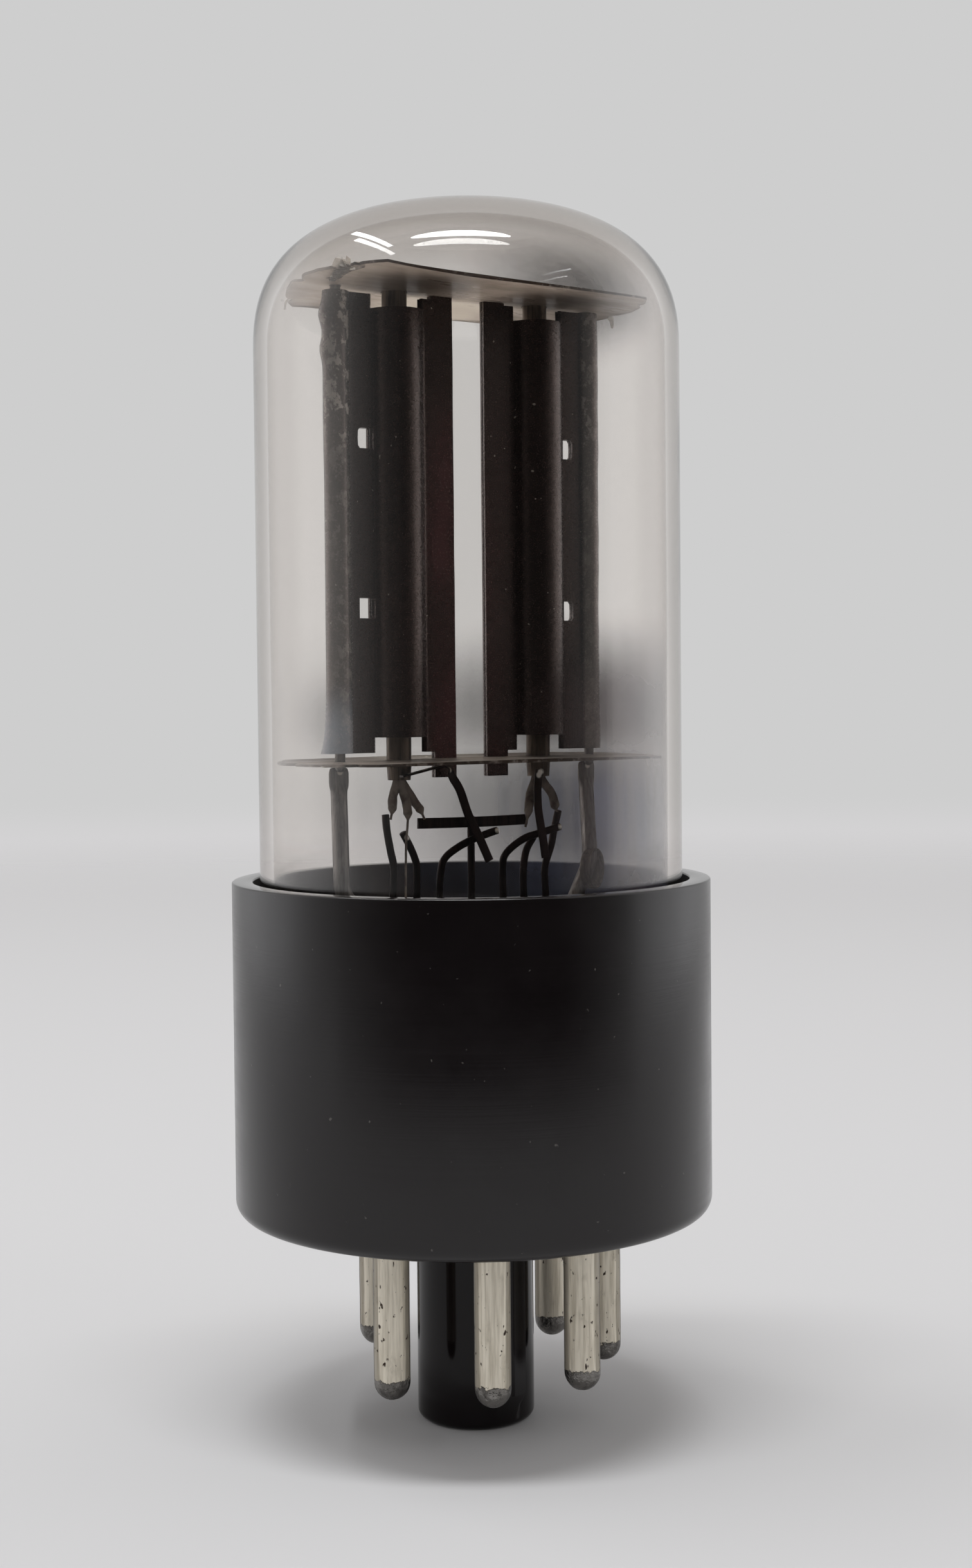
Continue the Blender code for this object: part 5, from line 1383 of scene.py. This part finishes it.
class TUBE_OT_stage(TubeOperator, bpy.types.Operator):
    """Pale table top, ceiling strips, soft surroundings and the camera"""

    bl_idname = "tube.stage"
    bl_label = "Stage"

    def build(self, sizes, colours):
        self.floor(colours)
        for strip in STRIPS:
            self.lamp(*strip)
        self.flag()
        self.surroundings(colours)
        self.camera()

    def floor(self, colours):
        """A round laminate table top that fades into the wall's colour far from the tube."""
        shape = bmesh.new()
        bmesh.ops.create_circle(shape, cap_ends=True, radius=1.2, segments=96)
        floor = add_object("table_top", shape)
        floor.location.z = -0.02 * MM
        material, tree, shader, place = new_material("pale_laminate")
        inputs = {"Base Color": colours.floor, "Roughness": 0.75, "Specular IOR Level": 0.2}
        set_shader(tree, shader, inputs)
        near = mask(tree, (distance(tree, place, (0, 0, 0)), 0.3, 0.65, 1, 0))
        set_surface(tree, add_node(tree, "BsdfTransparent"), shader.outputs[0], near)
        floor.data.materials.append(material)

    def lamp(self, name, middle, run, width, radiance):
        """An even strip of light whose long side follows run and which faces the tube. The one
        overhead has rounded ends, so that its mirror image on the dome does too, and with the
        power of a full rectangle it is brighter than its radiance by the corners it lacks."""
        data = bpy.data.lights.new(name, "AREA")
        data.shape = "ELLIPSE" if name == "overhead_strip" else "RECTANGLE"
        along = Vector(run)
        data.size, data.size_y = along.length, width
        data.energy = radiance * math.pi * along.length * width
        data.color = (0.97, 0.99, 1.0)
        along.normalize()
        back = Vector(middle) - Vector((0, 0, 0.04))
        back = (back - along * back.dot(along)).normalized()
        turn = Matrix((along, back.cross(along), back)).transposed().to_4x4()
        lamp = add_object(name, data)
        lamp.matrix_world = Matrix.Translation(middle) @ turn
        lamp.visible_camera = False

    def flag(self):
        """A black card on the camera's side that only gloss and glass see: it keeps black parts deep."""
        shape = bmesh.new()
        radius, reach, steps = 150 * MM, math.radians(70), 48
        rows = []
        for z in (0.0, 400 * MM):
            turns = [CARD_TURN - reach + 2 * reach * i / steps for i in range(steps + 1)]
            rows.append([shape.verts.new((radius * math.sin(t), -radius * math.cos(t), z)) for t in turns])
        for i in range(steps):
            shape.faces.new((rows[0][i], rows[0][i + 1], rows[1][i + 1], rows[1][i]))
        card = add_object("black_card", shape)
        material, tree, shader, place = new_material("black_velvet_card")
        opacity = add_node(tree, "MapRange", facing(tree, place, CARD_TURN), 0.22, 0.84, 0.0, 0.96)
        black = {"Base Color": linear("#101010"), "Roughness": 1.0, "Specular IOR Level": 0.0}
        set_shader(tree, shader, {**black, "Alpha": opacity})
        card.data.materials.append(material)
        card.visible_camera = card.visible_diffuse = card.visible_shadow = False

    def surroundings(self, colours):
        """A pale room: even wall down to the table, brighter to both sides, dimmer overhead
        between the strips and on the camera's side."""
        world = bpy.data.worlds.new("pale_room")
        bpy.context.scene.world = world
        world.use_nodes = True
        tree = world.node_tree
        way = add_node(tree, "TexCoord", out="Generated")
        height = add_node(tree, "SeparateXYZ", way, out=2)
        front = facing(tree, way, CAMERA_TURN)
        behind, ahead = mask(tree, (front, -0.88, -0.45)), mask(tree, (front, -0.2, 0.35))
        beside = add_node(tree, "Math", behind, ahead, operation="SUBTRACT")
        room = cover(tree, colours.far_floor, colours.backdrop, (height, -0.064, -0.044))
        room = cover(tree, room, "#fafafc", beside)
        room = cover(tree, room, "#a3a2a1", (front, 0.0, 0.8))
        room = cover(tree, room, "#c2c0be", (height, 0.3, 0.75))
        strength = add_node(tree, "Math", beside, 0.45, 1.0, **TIMES_PLUS)
        set_shader(tree, tree.nodes["Background"], {"Color": room, "Strength": strength})

    def camera(self):
        """The photograph's viewpoint: level with the tube's middle, to its left."""
        data = bpy.data.cameras.new("camera")
        data.sensor_width, data.lens = 36.0, CAMERA_LENS
        data.clip_start, data.clip_end = 5 * MM, 10.0
        camera = add_object("camera", data)
        right = Vector((math.cos(CAMERA_TURN), math.sin(CAMERA_TURN), 0))
        ahead = Vector((-math.sin(CAMERA_TURN), math.cos(CAMERA_TURN), 0))
        place = right * CAMERA_SIDESTEP - ahead * CAMERA_DISTANCE + Vector((0, 0, CAMERA_HEIGHT))
        view = Matrix((right, Vector((0, 0, 1)), -ahead)).transposed().to_4x4()
        tilt = Matrix.Rotation(-CAMERA_PITCH, 4, "X") @ Matrix.Rotation(CAMERA_ROLL, 4, "Z")
        camera.matrix_world = Matrix.Translation(place) @ view @ tilt
        bpy.context.scene.camera = camera
        bpy.context.scene.view_settings.view_transform = "Standard"


OPERATORS = (
    TUBE_OT_stage, TUBE_OT_bulb, TUBE_OT_getter_film, TUBE_OT_stem, TUBE_OT_base, TUBE_OT_pins,
    TUBE_OT_base_wiring, TUBE_OT_plates, TUBE_OT_cathodes, TUBE_OT_spacers, TUBE_OT_leads,
    TUBE_OT_straps, TUBE_OT_getter,
)


class TUBE_PT_panel(bpy.types.Panel):
    """Lists the tube's pieces, sizes and colours"""

    bl_idname = "TUBE_PT_panel"
    bl_label = "Rectifier tube"
    bl_space_type = "VIEW_3D"
    bl_region_type = "UI"
    bl_category = "Tube"

    def draw(self, context):
        for operator in OPERATORS:
            self.layout.operator(operator.bl_idname)
        for group in (context.scene.tube_sizes, context.scene.tube_colours):
            box = self.layout.box()
            for name in group.__annotations__:
                box.prop(group, name)


CLASSES = (TubeSizes, TubeColours, *OPERATORS, TUBE_PT_panel)


def register():
    for cls in CLASSES:
        bpy.utils.register_class(cls)
    bpy.types.Scene.tube_sizes = PointerProperty(type=TubeSizes)
    bpy.types.Scene.tube_colours = PointerProperty(type=TubeColours)


def unregister():
    del bpy.types.Scene.tube_colours
    del bpy.types.Scene.tube_sizes
    for cls in reversed(CLASSES):
        bpy.utils.unregister_class(cls)


def main():
    register()
    for operator in OPERATORS:
        getattr(bpy.ops.tube, operator.bl_idname.removeprefix("tube."))()


if __name__ == "__main__":
    main()
